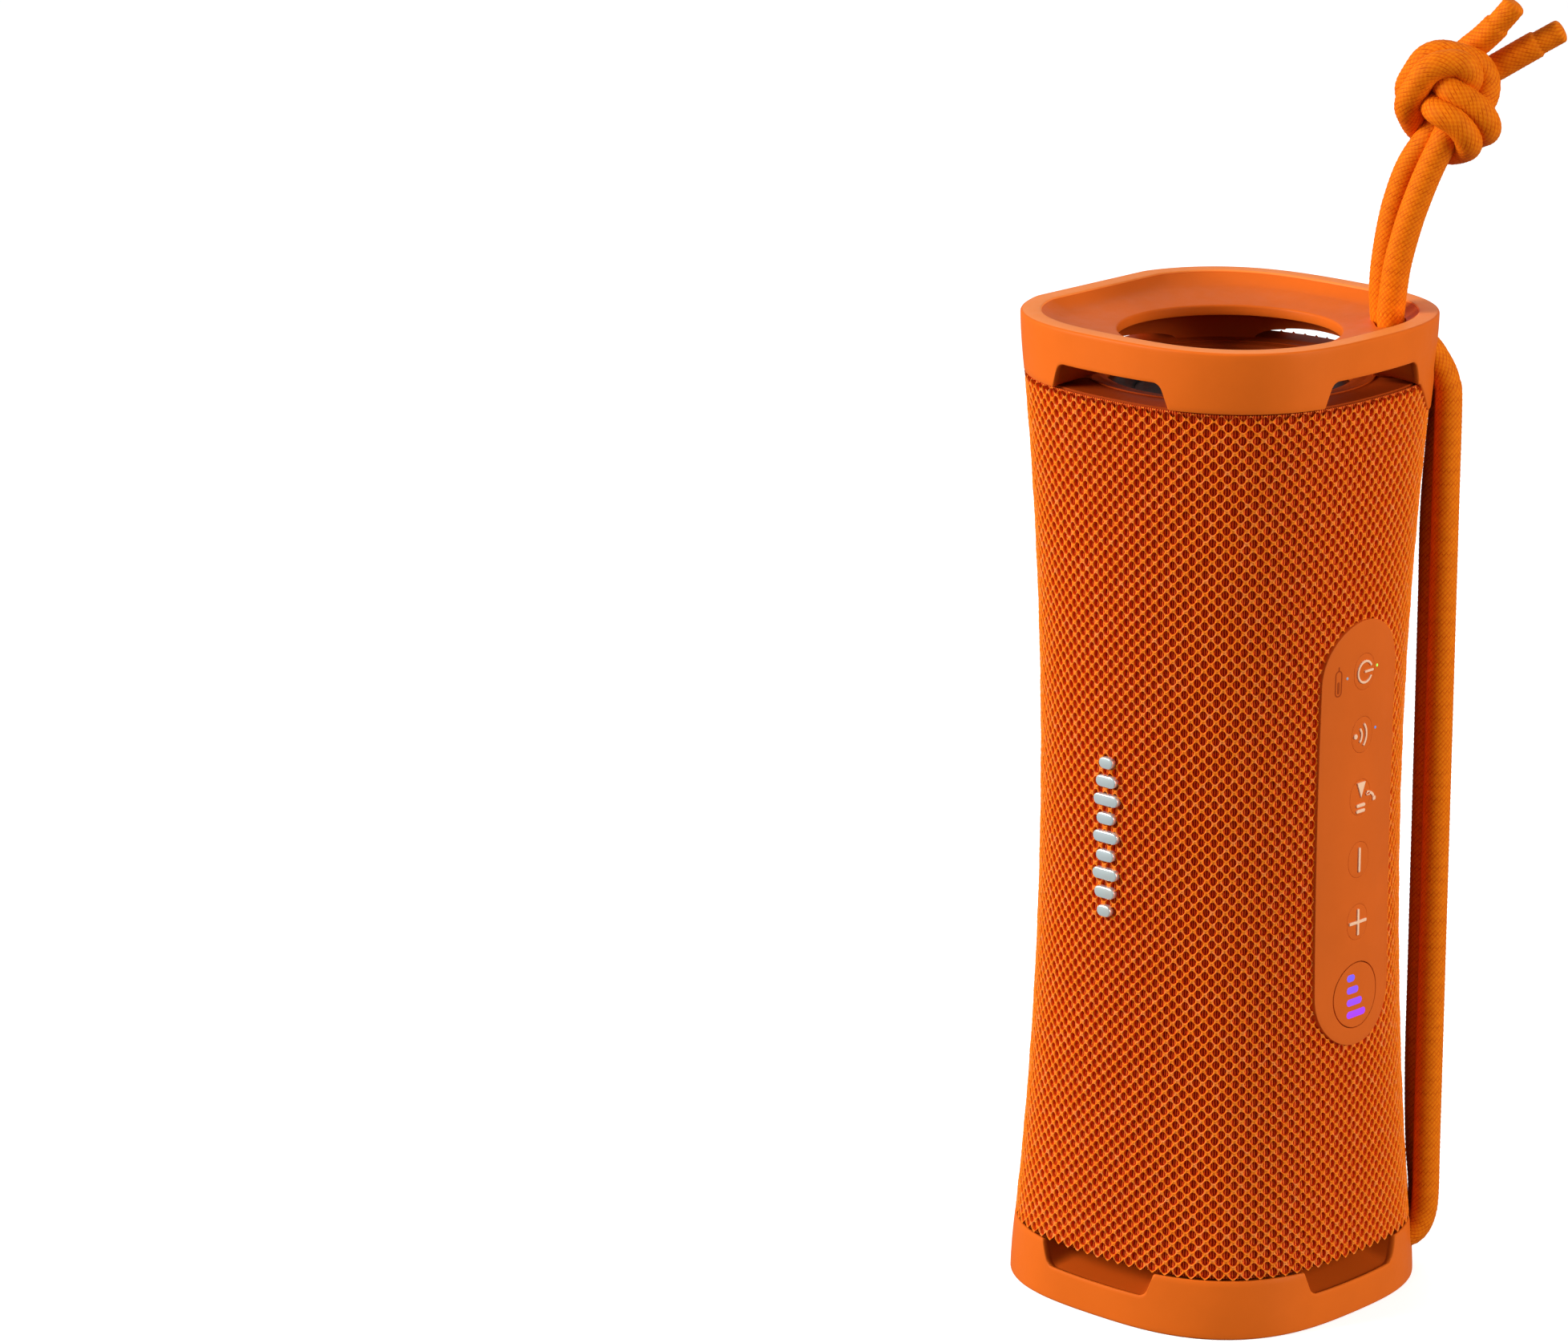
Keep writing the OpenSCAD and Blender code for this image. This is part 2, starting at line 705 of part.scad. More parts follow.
module play_key() {
    z = small_keys[2];
    color(orange) {
        key(z, key_l, key_w);
        translate([key_top(z), 0, z + 1]) rotate([0, 90, 0])
            linear_extrude(0.6) polygon([[-1.9, -1.6], [1.5, 0], [-1.9, 1.6]]);
        for (s = [0, 1])
            bar(z - 1.6 - s * 1.2, 0, 2.6, 0.7);
    }
}

module volume_down_key() {
    z = small_keys[3];
    color(orange) {
        key(z, key_l, key_w);
        bar(z, 0, 5.4, 0.8, 90);
    }
}

module volume_up_key() {
    z = small_keys[4];
    color(orange) {
        key(z, key_l, key_w);
        bar(z, 0, 5.4, 0.8, 90);
        bar(z, 0, 5.4, 0.8);
    }
}

module boost_key() {
    color(orange) {
        key(boost_z, boost_d, boost_d);
        for (i = [-1:1])
            bar(boost_z + 2.6 * i, 0, 7 - 1.4 * abs(i), 1.1);
    }
}

module key_board() {
    color("#1E5A34") difference() {
        translate([board_x, 0, panel_z]) stadium_x(panel_l - 7, 16.4, board_t);
        post_places() cylinder(d = 1.6, h = 60);
    }
}

module key_switches() {
    color("#D8D8DC") for (z = concat(small_keys, [boost_z])) {
        translate([board_x + board_t, -2.2, z - 2.2]) cube([1.7, 4.4, 4.4]);
        translate([board_x + board_t + 1.7, 0, z]) rotate([0, 90, 0])
            cylinder(d = 2, h = switch_top - board_x - board_t - 1.7);
    }
}

module key_board_screws() {
    color("silver") post_places() translate([0, 0, board_x - 1]) {
        cylinder(d = 1.4, h = 4.4);
        cylinder(d = 2.8, h = 1);
    }
}

// ---- Badge and charging port ---------------------------------------------------------------

module badge() {
    color("#DCE6F0") for (i = [-4:4])
        translate([0, -waist_half - 0.9, mid_z - 0.4 + i * badge_pitch]) rotate([-90, 0, 0])
            linear_extrude(1.4) stadium(badge_bars[abs(i)], 2.4);
}

module port_bezel() {
    color("#C85C1E") difference() {
        union() {
            translate([0, port_y - 5.4, port_z]) rotate([-90, 0, 0])
                linear_extrude(5.4) stadium(port_w + 4.6, port_h + 3.6);
            translate([0, port_y - 1.1, port_z]) rotate([-90, 0, 0])
                linear_extrude(1.1) stadium(port_w + 6.6, port_h + 5.6);
        }
        translate([0, port_y - 1.9, port_z]) rotate([-90, 0, 0])
            linear_extrude(4) stadium(port_w + 0.7, port_h + 0.7);
        translate([0, port_y - 7, port_z]) rotate([-90, 0, 0]) linear_extrude(9) stadium(13, 5.4);
        port_hinge_place() translate([0, 0, -7]) cylinder(r = 1.3, h = 14);
    }
}

module port_hinge_place() {
    translate([0, port_y - 0.9, port_z - port_h / 2 + 0.9]) rotate([0, 90, 0]) children();
}

module port_cover() {
    color(orange) {
        difference() {
            translate([0, port_y - 1.6, port_z]) rotate([-90, 0, 0])
                linear_extrude(1.6) stadium(port_w, port_h);
            translate([-20, port_y - 3, port_z - port_h / 2 - 1]) cube([40, 6, 1.9]);
            for (x = [-21.5, 6.5])
                translate([x, port_y - 3, port_z - port_h / 2 - 1]) cube([15, 6, 3.1]);
        }
        port_hinge_place() translate([0, 0, -6]) cylinder(r = 0.8, h = 12);
        translate([-6, port_y - 1.6, port_z - port_h / 2 + 0.4]) cube([12, 1.4, 1.4]);
        translate([0, port_y - 2.2, port_z]) rotate([-90, 0, 0]) linear_extrude(0.8) stadium(8, 2.4);
    }
}

module usb_socket() {
    color("silver") difference() {
        translate([0, port_y - 11.6, port_z]) rotate([-90, 0, 0]) linear_extrude(8) stadium(8.9, 3.2);
        translate([0, port_y - 11, port_z]) rotate([-90, 0, 0]) linear_extrude(9) stadium(8.3, 2.6);
    }
    color("#303034") translate([-3.2, port_y - 11.2, port_z - 0.35]) cube([6.4, 6.4, 0.7]);
}

module port_board() {
    color("#1E5A34") translate([-10, port_y - 22, port_z - 2.8]) cube([20, 16.4, 1.2]);
}

// ---- Battery and electronics ---------------------------------------------------------------

cell_d = 18.5;
cell_l = 65;
cell_z = 62;
cell_y = 15.5;

module battery_cells() {
    color("#3C6FB0") for (x = [-1, 1])
        translate([x * 9.5, cell_y, cell_z]) cylinder(d = cell_d, h = cell_l);
}

module battery_tray() {
    color("#2A2A2E") difference() {
        translate([-20, cell_y, cell_z - 2.4]) cube([40, 11, cell_l + 4.8]);
        for (x = [-1, 1])
            translate([x * 9.5, cell_y, cell_z - 0.2]) cylinder(d = cell_d + 0.4, h = cell_l + 0.4);
    }
}

module main_board() {
    color("#1E5A34") difference() {
        translate([board_face - 1.6, -14, 58]) cube([1.6, 32, 92]);
        for (side = [-1, 1], z = board_post_z)
            translate([board_face - 2, board_post_y(side), z]) rotate([0, 90, 0]) cylinder(d = 1.6, h = 3);
    }
}

module board_chips() {
    color("#151517") {
        translate([board_face, -8, 72]) cube([1.2, 12, 12]);
        translate([board_face, -6, 98]) cube([1, 8, 8]);
        translate([board_face, 6, 118]) cube([1.4, 8, 10]);
        translate([board_face, -8, 126]) cube([2.4, 10, 6]);
    }
}

lead_points = [[-22.6, -8, 92], [-19, -8, 92], [-17.6, -5, 92], [-17.6, -5, 85], [-17.4, -5.5, 79]];

module speaker_leads() {
    color("#B02020") cord(lead_points, 1.4);
    color("#202020") cord([for (p = lead_points) p + [0, 2.2, 2.2]], 1.4);
}

// ---- Strap ---------------------------------------------------------------------------------

turn_points = [for (a = [-60:30:60]) [-cos(a) * turn_r, sin(a) * turn_r]];

function strap_path() = concat(
    [for (p = near_run) diagonal(p[0], strand_gap, p[1])],
    [diagonal(35.6, strand_gap + 0.8, 9)],
    [for (i = [0:4]) diagonal(pin_r + turn_points[4 - i][0], turn_points[4 - i][1], turn_z)],
    [diagonal(35.6, -strand_gap - 0.8, 9)],
    [for (i = [len(far_run) - 1:-1:0]) diagonal(far_run[i][0], -strand_gap, far_run[i][1])]);

module strap_loop() {
    color(cord_orange) cord(strap_path(), cord_d);
}

module free_cord(route, d) {
    color(cord_orange) cord([for (p = route) diagonal(p[0], p[1], p[2])], d, 10);
}

module strap_near_strand() {
    free_cord(near_free, cord_d);
}

module strap_far_strand() {
    free_cord(far_free, cord_d);
}

module strap_near_tail() {
    free_cord(near_end, cord_d - 0.6);
}

module strap_far_tail() {
    free_cord(far_end, cord_d - 0.6);
}

module strap_knot() {
    color(cord_orange) translate(diagonal(knot_centre[0], 0, knot_centre[2]))
        rotate([0, 0, 45]) rotate([0, knot_tilt, 0])
        rotate_extrude() polygon(concat([[0, -knot_l / 2]],
            [for (a = [-70:20:70]) [knot_d / 2 * cos(a), knot_l / 2 * sin(a)]], [[0, knot_l / 2]]));
}

top_end_cap();
bottom_end_cap();
grille_sleeve();
front_shell();
rear_shell();
driver_baffle();
top_end_plate();
bottom_end_plate();
top_gasket();
bottom_gasket();
top_radiator_plate();
top_radiator_weight();
top_radiator_surround();
bottom_radiator_plate();
bottom_radiator_weight();
bottom_radiator_surround();
woofer_frame();
woofer_surround();
woofer_cone();
voice_coil();
woofer_spider();
woofer_magnet();
tweeter_housing();
tweeter_dome();
tweeter_magnet();
control_panel();
power_key();
pairing_key();
play_key();
volume_down_key();
volume_up_key();
boost_key();
indicator_lenses();
key_board();
key_switches();
badge();
port_bezel();
port_cover();
usb_socket();
port_board();
battery_cells();
battery_tray();
main_board();
board_chips();
speaker_leads();
end_plate_screws();
woofer_screws();
tweeter_screws();
key_board_screws();
board_screws();
shell_screws();
anchor_pin();
strap_loop();
strap_near_strand();
strap_far_strand();
strap_knot();
strap_near_tail();
strap_far_tail();
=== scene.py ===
"""Looks of the portable speaker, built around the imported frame.

Lengths are in millimetres, and Blender gets them in metres. +Z is up, -Y the front with the badge,
+X the control panel, +Y the charging port and -X the flat underside."""
import json
import math
from contextlib import contextmanager

import bmesh
import bpy
import numpy as np
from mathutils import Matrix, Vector


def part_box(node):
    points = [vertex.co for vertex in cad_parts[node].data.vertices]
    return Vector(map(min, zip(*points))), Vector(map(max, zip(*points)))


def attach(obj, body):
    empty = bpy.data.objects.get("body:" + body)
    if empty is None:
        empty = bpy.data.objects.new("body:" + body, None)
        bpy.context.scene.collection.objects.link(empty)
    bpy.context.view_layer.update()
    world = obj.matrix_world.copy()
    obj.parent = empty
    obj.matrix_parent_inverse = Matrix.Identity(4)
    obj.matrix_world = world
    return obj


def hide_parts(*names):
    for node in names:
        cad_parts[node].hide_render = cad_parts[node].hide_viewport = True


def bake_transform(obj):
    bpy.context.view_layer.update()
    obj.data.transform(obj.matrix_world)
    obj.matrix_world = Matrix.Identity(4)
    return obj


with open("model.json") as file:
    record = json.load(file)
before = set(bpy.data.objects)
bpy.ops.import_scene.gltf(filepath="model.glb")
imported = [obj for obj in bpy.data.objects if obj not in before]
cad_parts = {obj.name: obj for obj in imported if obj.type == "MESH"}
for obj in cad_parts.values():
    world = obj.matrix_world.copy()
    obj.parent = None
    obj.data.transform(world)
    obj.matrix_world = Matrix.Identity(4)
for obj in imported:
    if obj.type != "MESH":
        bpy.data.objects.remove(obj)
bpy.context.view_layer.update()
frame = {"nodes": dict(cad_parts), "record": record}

MM = 0.001
ROOT2 = math.sqrt(2)
TURN = 2 * math.pi

# ---- Dimensions, in millimetres ----

BODY_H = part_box("top_end_cap")[1].z / MM
MID_Z = BODY_H / 2
CAP_H = 12.5
WAIST_SPAN = MID_Z - CAP_H
WAIST_HALF, END_HALF = 35.9, 38.0
WAIST_CORNER, END_CORNER = 37.1, 41.4
UNDER_FLAT = 36.6
CAP_HALF, CAP_CORNER, CAP_FLAT = 38.5, 42.3, 37.0
CAP_TAPER = 0.9
RIM_W = 4.3
DISH_EDGE, DISH_DEPTH, DISH_T = 1.9, 4.1, 2.2
OPENING_R = 22.7
CAP_WALL = 1.4
INNER_R = 29.5
ARCH_HIGH, ARCH_HALF = 9.4, 29.0
SLOT_WIDE, SLOT_NARROW, SLOT_H, SLOT_FILLET = 30.4, 26.4, 5.2, 2.3
TONGUE_HALF, TONGUE_H, TONGUE_SLOPE = 15.0, 7.2, 1.15
CHAMBER = DISH_DEPTH + DISH_T

PANEL_Z, PANEL_L, PANEL_W, PANEL_PROUD = MID_Z, 89.6, 23.6, 0.5
POWER_Z, KEY_PITCH, KEY_L, KEY_W = 137.0, 13.2, 7.6, 6.4
BOOST_Z, BOOST_D = 68.7, 13.6
KEYS = ["power_key", "pairing_key", "play_key", "volume_down_key", "volume_up_key"]
KEY_Z = {name: POWER_Z - i * KEY_PITCH for i, name in enumerate(KEYS)}

KNIT_COLUMNS, KNIT_PITCH, KNIT_STRIPS = 178, 2.66, 7
KNIT_LOW, KNIT_HIGH = 12.7, BODY_H - 12.7
HOLE_WIDE, HOLE_HIGH = 0.62, 0.72

PORT_Z, PORT_FACE, PORT_W, PORT_H = 34.0, 37.2, 24.0, 9.4
PORT_FRAME_W, PORT_FRAME_H = 30.6, 15.0
# A radiator's face stands deeper behind the end cap than its plain CAD solid
RADIATOR_FACE = 16.5
PLATE_R, ROLL_R, COLLAR_R = 19.0, 25.1, 30.0
ROLL_H, ROLL_T = 1.4, 0.35
BADGE_BARS, BADGE_PITCH = [6.4, 4.6, 6.4, 5.2, 3.6], 3.9

CORD_D = 5.7
STRAND_GAP = 3.0
BRAID_CARRIERS, BRAID_PICK, BRAID_SIDES, BRAID_RELIEF = 16, 1.12, 64, 0.15
TIP_L = 5.2

CAMERA_YAW = math.radians(43.453)


# ---- Shared shapes ----

def smoothstep(t):
    t = np.clip(t, 0, 1)
    return t * t * (3 - 2 * t)


def soft_floor(x, limit, width=0.12):
    """x held above limit, with a rounded corner."""
    return limit + width * np.logaddexp(0, (x - limit) / width)


def section(theta, half, corner, flat, grow):
    """Outline of the body at angle theta, as x and y."""
    r = half + (corner - half) * np.sin(2 * theta) ** 2 + grow
    return soft_floor(r * np.cos(theta), -flat - grow), r * np.sin(theta)


def body_size(z):
    """The sleeve's half width over its flats and over its corners at height z."""
    t = ((z - MID_Z) / WAIST_SPAN) ** 2
    return WAIST_HALF + (END_HALF - WAIST_HALF) * t, WAIST_CORNER + (END_CORNER - WAIST_CORNER) * t


def sleeve_at(theta, z, grow=0.0):
    """Point on the sleeve's surface."""
    x, y = section(theta, *body_size(z), UNDER_FLAT, grow)
    return np.stack(np.broadcast_arrays(x, y, z), -1)


def right_side_x(y, z):
    """x of the sleeve's surface on the control side, near the middle of that side."""
    half, corner = body_size(z)
    theta = np.arctan2(y, half)
    for _ in range(4):
        r = half + (corner - half) * np.sin(2 * theta) ** 2
        theta = np.arcsin(np.clip(y / r, -1, 1))
    return r * np.cos(theta)


def add_object(name, data):
    obj = bpy.data.objects.new(name, data)
    bpy.context.scene.collection.objects.link(obj)
    return obj


def quad_mesh(name, points, quads, uv=None):
    """Smooth object from points in millimetres, quads, and places on its map by quad corner."""
    mesh = bpy.data.meshes.new(name)
    mesh.vertices.add(len(points))
    mesh.vertices.foreach_set("co", (np.asarray(points) * MM).astype(np.float32).ravel())
    mesh.loops.add(quads.size)
    mesh.loops.foreach_set("vertex_index", quads.astype(np.int32).ravel())
    mesh.polygons.add(len(quads))
    mesh.polygons.foreach_set("loop_start", np.arange(0, quads.size, 4, dtype=np.int32))
    if uv is not None:
        mesh.uv_layers.new(name="OFBake").uv.foreach_set("vector", uv.astype(np.float32).ravel())
    mesh.update(calc_edges=True)
    mesh.shade_smooth()
    return add_object(name, mesh)


def set_cells(obj, domain, cells):
    """Stores the cell attribute that the yarn materials read."""
    layer = obj.data.attributes.new("cell", "FLOAT_VECTOR", domain)
    layer.data.foreach_set("vector", cells.astype(np.float32).ravel())


def grid_quads(rows, cols, wrap_rows=False, wrap_cols=False):
    r, c = np.meshgrid(np.arange(rows if wrap_rows else rows - 1),
                       np.arange(cols if wrap_cols else cols - 1), indexing="ij")
    r2, c2 = (r + 1) % rows, (c + 1) % cols
    return np.stack([r * cols + c, r * cols + c2, r2 * cols + c2, r2 * cols + c], -1).reshape(-1, 4)


@contextmanager
def editing(mesh):
    """A mesh opened for editing, written back with its normals pointing out."""
    b = bmesh.new()
    b.from_mesh(mesh)
    yield b
    bmesh.ops.recalc_face_normals(b, faces=b.faces)
    b.to_mesh(mesh)
    b.free()


def face_outward(obj):
    with editing(obj.data):
        return obj


def sharpen(obj, degrees):
    """Smooth shading, with edges kept sharp above an angle."""
    obj.data.shade_smooth()
    obj.data.set_sharp_from_angle(angle=math.radians(degrees))
    return obj


def plain_mesh(obj):
    """Mesh of an object as its modifiers or its curve make it."""
    graph = bpy.context.evaluated_depsgraph_get()
    return bpy.data.meshes.new_from_object(obj.evaluated_get(graph), depsgraph=graph)


def join(name, objects):
    """One object from several."""
    bpy.ops.object.select_all(action="DESELECT")
    for o in objects:
        o.select_set(True)
    bpy.context.view_layer.objects.active = objects[0]
    bpy.ops.object.join()
    objects[0].name = name
    return objects[0]


def cut(obj, cutter):
    """Takes cutter out of obj, and removes it."""
    m = obj.modifiers.new("cut", "BOOLEAN")
    m.operation = "DIFFERENCE"
    m.solver = "EXACT"
    m.object = cutter
    whole, mesh = obj.data, plain_mesh(obj)
    obj.modifiers.clear()
    obj.data = mesh
    bpy.data.meshes.remove(whole)
    bpy.data.objects.remove(cutter)


def finish_piece(obj, slot, *nodes, body="root", material=None):
    """Slot, body and material of a finished piece, and the CAD nodes that it stands for."""
    obj.data.materials.clear()
    obj.data.materials.append(material or MATERIALS[slot])
    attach(obj, body)
    if nodes:
        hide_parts(*nodes)


def lathe(name, profile, z, up, steps=128):
    """Closed ring turned about Z from (radius, height) points; up is -1 to turn it over."""
    profile = np.asarray(profile, float)
    angle = np.linspace(0, TURN, steps, endpoint=False)
    r, h = profile[:, 0][:, None], profile[:, 1][:, None]
    points = np.stack([r * np.cos(angle), r * np.sin(angle), z + up * h + 0 * angle], -1)
    obj = quad_mesh(name, points.reshape(-1, 3), grid_quads(len(profile), steps, True, True))
    return sharpen(face_outward(obj), 40)


def rounded(points, radius, steps=5):
    """Closed outline with each corner replaced by an arc of about that radius."""
    p = [Vector(q) for q in points]
    out = []
    for i, corner in enumerate(p):
        before, after = p[i - 1], p[(i + 1) % len(p)]
        reach = min(radius, (before - corner).length * 0.49, (after - corner).length * 0.49)
        a = corner + (before - corner).normalized() * reach
        b = corner + (after - corner).normalized() * reach
        for k in range(steps + 1):
            t = k / steps
            q = a * (1 - t) ** 2 + corner * (2 * t * (1 - t)) + b * t ** 2
            out.append((q.x, q.y))
    return out


def arc(diameter, start, end, centre=(0, 0), steps=24):
    """Points of an arc between two angles in degrees."""
    angles = [math.radians(start + (end - start) * k / steps) for k in range(steps + 1)]
    return [(centre[0] + diameter / 2 * math.cos(a), centre[1] + diameter / 2 * math.sin(a)) for a in angles]


def stadium(length, width, centre=(0, 0), steps=14):
    """Outline with round ends, its long side along the first axis."""
    half = (length - width) / 2
    return [(centre[0] + side * (half + x), centre[1] + side * y)
            for side in (1, -1) for x, y in arc(width, -90, 90, steps=steps)]


def circle(diameter, centre=(0, 0), steps=40):
    return arc(diameter, 0, 360, centre, steps)[:-1]


def ring_piece(outer, inner, start, end, centre=(0, 0)):
    """Outline of a piece of a flat ring between two angles in degrees."""
    return arc(outer, start, end, centre) + arc(inner, end, start, centre)


def plate(name, outlines, thickness, bevel, rule, slices=()):
    """Bevelled plate with holes where outlines nest, drawn flat from z = -thickness to z = 0, then laid in
    place by a rule from (n, 3) arrays to (n, 3) arrays. slices are the spacings along x and y at which it is
    divided so that it can be bent."""
    curve = bpy.data.curves.new(name, "CURVE")
    curve.dimensions = "2D"
    curve.fill_mode = "BOTH"
    curve.extrude = thickness / 2 - bevel
    curve.bevel_depth = bevel
    curve.bevel_resolution = 2
    curve.offset = -bevel
    for outline in outlines:
        spline = curve.splines.new("POLY")
        spline.points.add(len(outline) - 1)
        for point, (x, y) in zip(spline.points, outline):
            point.co = (x, y, 0, 1)
        spline.use_cyclic_u = True
    maker = add_object(name, curve)
    mesh = plain_mesh(maker)
    bpy.data.objects.remove(maker)
    with editing(mesh) as b:
        bmesh.ops.translate(b, verts=b.verts, vec=(0, 0, -thickness / 2))
        bmesh.ops.remove_doubles(b, verts=b.verts, dist=1e-4)
        for axis, step in enumerate(slices):
            reach = max(abs(v.co[axis]) for v in b.verts)
            for k in range(-int(reach / step), int(reach / step) + 1):
                # A hair off the middle, so that no slice runs through the outline's own points
                normal = Vector((axis == 0, axis == 1, 0))
                bmesh.ops.bisect_plane(b, geom=b.verts[:] + b.edges[:] + b.faces[:], dist=1e-5,
                                       plane_co=normal * (k * step + 0.013), plane_no=normal)
    place = np.empty(len(mesh.vertices) * 3)
    mesh.vertices.foreach_get("co", place)
    mesh.vertices.foreach_set("co", (rule(place.reshape(-1, 3)) * MM).ravel())
    mesh.update()
    return sharpen(face_outward(add_object(name, mesh)), 32)


def side_plate(name, outlines, thickness, bevel, z, proud, slices=()):
    """Plate drawn in (along +Z, along +Y, outward) and laid on the control side, centred at height z."""
    def rule(p):
        height, y = z + p[:, 0], p[:, 1]
        return np.stack([right_side_x(y, height) + proud + p[:, 2], y, height], -1)
    return plate(name, outlines, thickness, bevel, rule, slices)


# ---- Materials ----

YARN_TINT = (1.0, 0.5, 0.2, 1)


class Shader:
    """A material's node tree, with short ways to add nodes."""

    def __init__(self, name, colour, roughness, **sockets):
        self.material = bpy.data.materials.new(name)
        self.material.use_nodes = True
        self.tree = self.material.node_tree
        self.bsdf = self.tree.nodes["Principled BSDF"]
        self.bsdf.inputs["Base Color"].default_value = (*colour, 1)
        self.bsdf.inputs["Roughness"].default_value = roughness
        for key, value in sockets.items():
            self.bsdf.inputs[key.replace("_", " ")].default_value = value

    def node(self, kind, **settings):
        n = self.tree.nodes.new(kind)
        for key, value in settings.items():
            setattr(n, key, value)
        return n

    def link(self, a, b):
        self.tree.links.new(a, b)

    def paint(self, colour):
        self.link(colour, self.bsdf.inputs["Base Color"])

    def coordinates(self, scale=None):
        """Object coordinates, scaled along each axis where a scale is given."""
        place = self.node("ShaderNodeTexCoord").outputs["Object"]
        if scale is None:
            return place
        mapping = self.node("ShaderNodeMapping")
        mapping.inputs["Scale"].default_value = scale
        self.link(place, mapping.inputs["Vector"])
        return mapping.outputs[0]

    def split(self, vector):
        n = self.node("ShaderNodeSeparateXYZ")
        self.link(vector, n.inputs[0])
        return n.outputs

    def cell(self):
        """The three numbers of a piece's cell attribute."""
        return self.split(self.node("ShaderNodeAttribute", attribute_name="cell").outputs["Vector"])

    def noise(self, scale, detail=3.0, roughness=0.55, vector=None):
        n = self.node("ShaderNodeTexNoise")
        n.inputs["Scale"].default_value = scale
        n.inputs["Detail"].default_value = detail
        n.inputs["Roughness"].default_value = roughness
        self.link(vector or self.coordinates(), n.inputs["Vector"])
        return n.outputs["Fac"]

    def ramp(self, value, stops):
        """Colours, or greys given as one number, at stops of a value."""
        n = self.node("ShaderNodeValToRGB")
        ramp = n.color_ramp
        while len(ramp.elements) < len(stops):
            ramp.elements.new(0.5)
        for element, (at, colour) in zip(ramp.elements, stops):
            element.position = at
            element.color = (*colour, 1) if isinstance(colour, tuple) else (colour, colour, colour, 1)
        self.link(value, n.inputs["Fac"])
        return n.outputs["Color"]

    def maths(self, operation, a, b=None, c=None):
        n = self.node("ShaderNodeMath", operation=operation)
        for socket, value in zip(n.inputs, (a, b, c)):
            if value is None:
                continue
            if isinstance(value, (int, float)):
                socket.default_value = value
            else:
                self.link(value, socket)
        return n.outputs[0]

    def times(self, a, b):
        return self.maths("MULTIPLY", a, b)

    def mix(self, factor, a, b):
        n = self.node("ShaderNodeMix", data_type="RGBA")
        for socket, value in ((n.inputs["Factor"], factor), (n.inputs[6], a), (n.inputs[7], b)):
            if isinstance(value, (int, float)):
                socket.default_value = value
            elif isinstance(value, tuple):
                socket.default_value = (*value, 1)
            else:
                self.link(value, socket)
        return n.outputs[2]

    def bump(self, height, strength, distance, normal=None):
        n = self.node("ShaderNodeBump")
        n.inputs["Strength"].default_value = strength
        n.inputs["Distance"].default_value = distance
        self.link(height, n.inputs["Height"])
        if normal is not None:
            self.link(normal, n.inputs["Normal"])
        self.link(n.outputs["Normal"], self.bsdf.inputs["Normal"])
        return n.outputs["Normal"]

    def vary(self, colour, dark, light, scale):
        """Base colour that drifts between two tints of colour."""
        low = tuple(c * dark for c in colour)
        high = tuple(min(1, c * light) for c in colour)
        self.paint(self.ramp(self.noise(scale, 4), [(0.3, low), (0.7, high)]))

    def rough(self, low, high, pattern):
        """Roughness that follows a pattern between two values."""
        value = self.ramp(pattern, [(0.3, low), (0.7, high)])
        self.link(value, self.bsdf.inputs["Roughness"])


def soft_touch(name, colour, roughness=0.42, grain=0.00003, painted_light_tones=None):
    """Matte soft-touch rubber with a fine grain. The tones given are painted light: a painted highlight colour
    where the tone attribute is 1 and a painted shade colour where it is -1."""
    s = Shader(name, colour, roughness, Specular_IOR_Level=0.10, Specular_Tint=(1.0, 0.75, 0.55, 1))
    s.vary(colour, 0.95, 1.04, 60)
    if painted_light_tones:
        # Painted light: tone 1 mixes in the painted highlight colour, tone -1 the painted shade colour
        tone = s.node("ShaderNodeAttribute", attribute_name="tone").outputs["Fac"]
        tint = s.bsdf.inputs["Base Color"].links[0].from_socket
        tint = s.mix(tone, tint, painted_light_tones[0])
        tint = s.mix(s.times(tone, -1), tint, painted_light_tones[1])
        s.paint(tint)
    s.rough(roughness - 0.05, roughness + 0.06, s.noise(300, 4))
    fine = s.noise(9000, 2, 0.6)
    wide = s.noise(1500, 3, 0.5)
    normal = s.bump(fine, 0.35, grain)
    s.bump(wide, 0.12, grain * 2, normal)
    return s.material


def moulded(name, colour, roughness=0.5, grain=0.00004, metallic=0.0):
    """Moulded or painted part with an even fine texture."""
    s = Shader(name, colour, roughness, Metallic=metallic, Specular_IOR_Level=0.25)
    s.vary(colour, 0.85, 1.15, 90)
    s.rough(roughness - 0.08, roughness + 0.08, s.noise(240, 4))
    s.bump(s.noise(5000, 3), 0.3, grain)
    return s.material


def metal(name, colour, roughness=0.3, stretch=(1, 1, 40)):
    """Turned or brushed metal."""
    s = Shader(name, colour, roughness, Metallic=1.0)
    lines = s.noise(400, 3, vector=s.coordinates(stretch))
    s.rough(roughness - 0.1, roughness + 0.12, lines)
    s.bump(lines, 0.1, 0.00002)
    return s.material


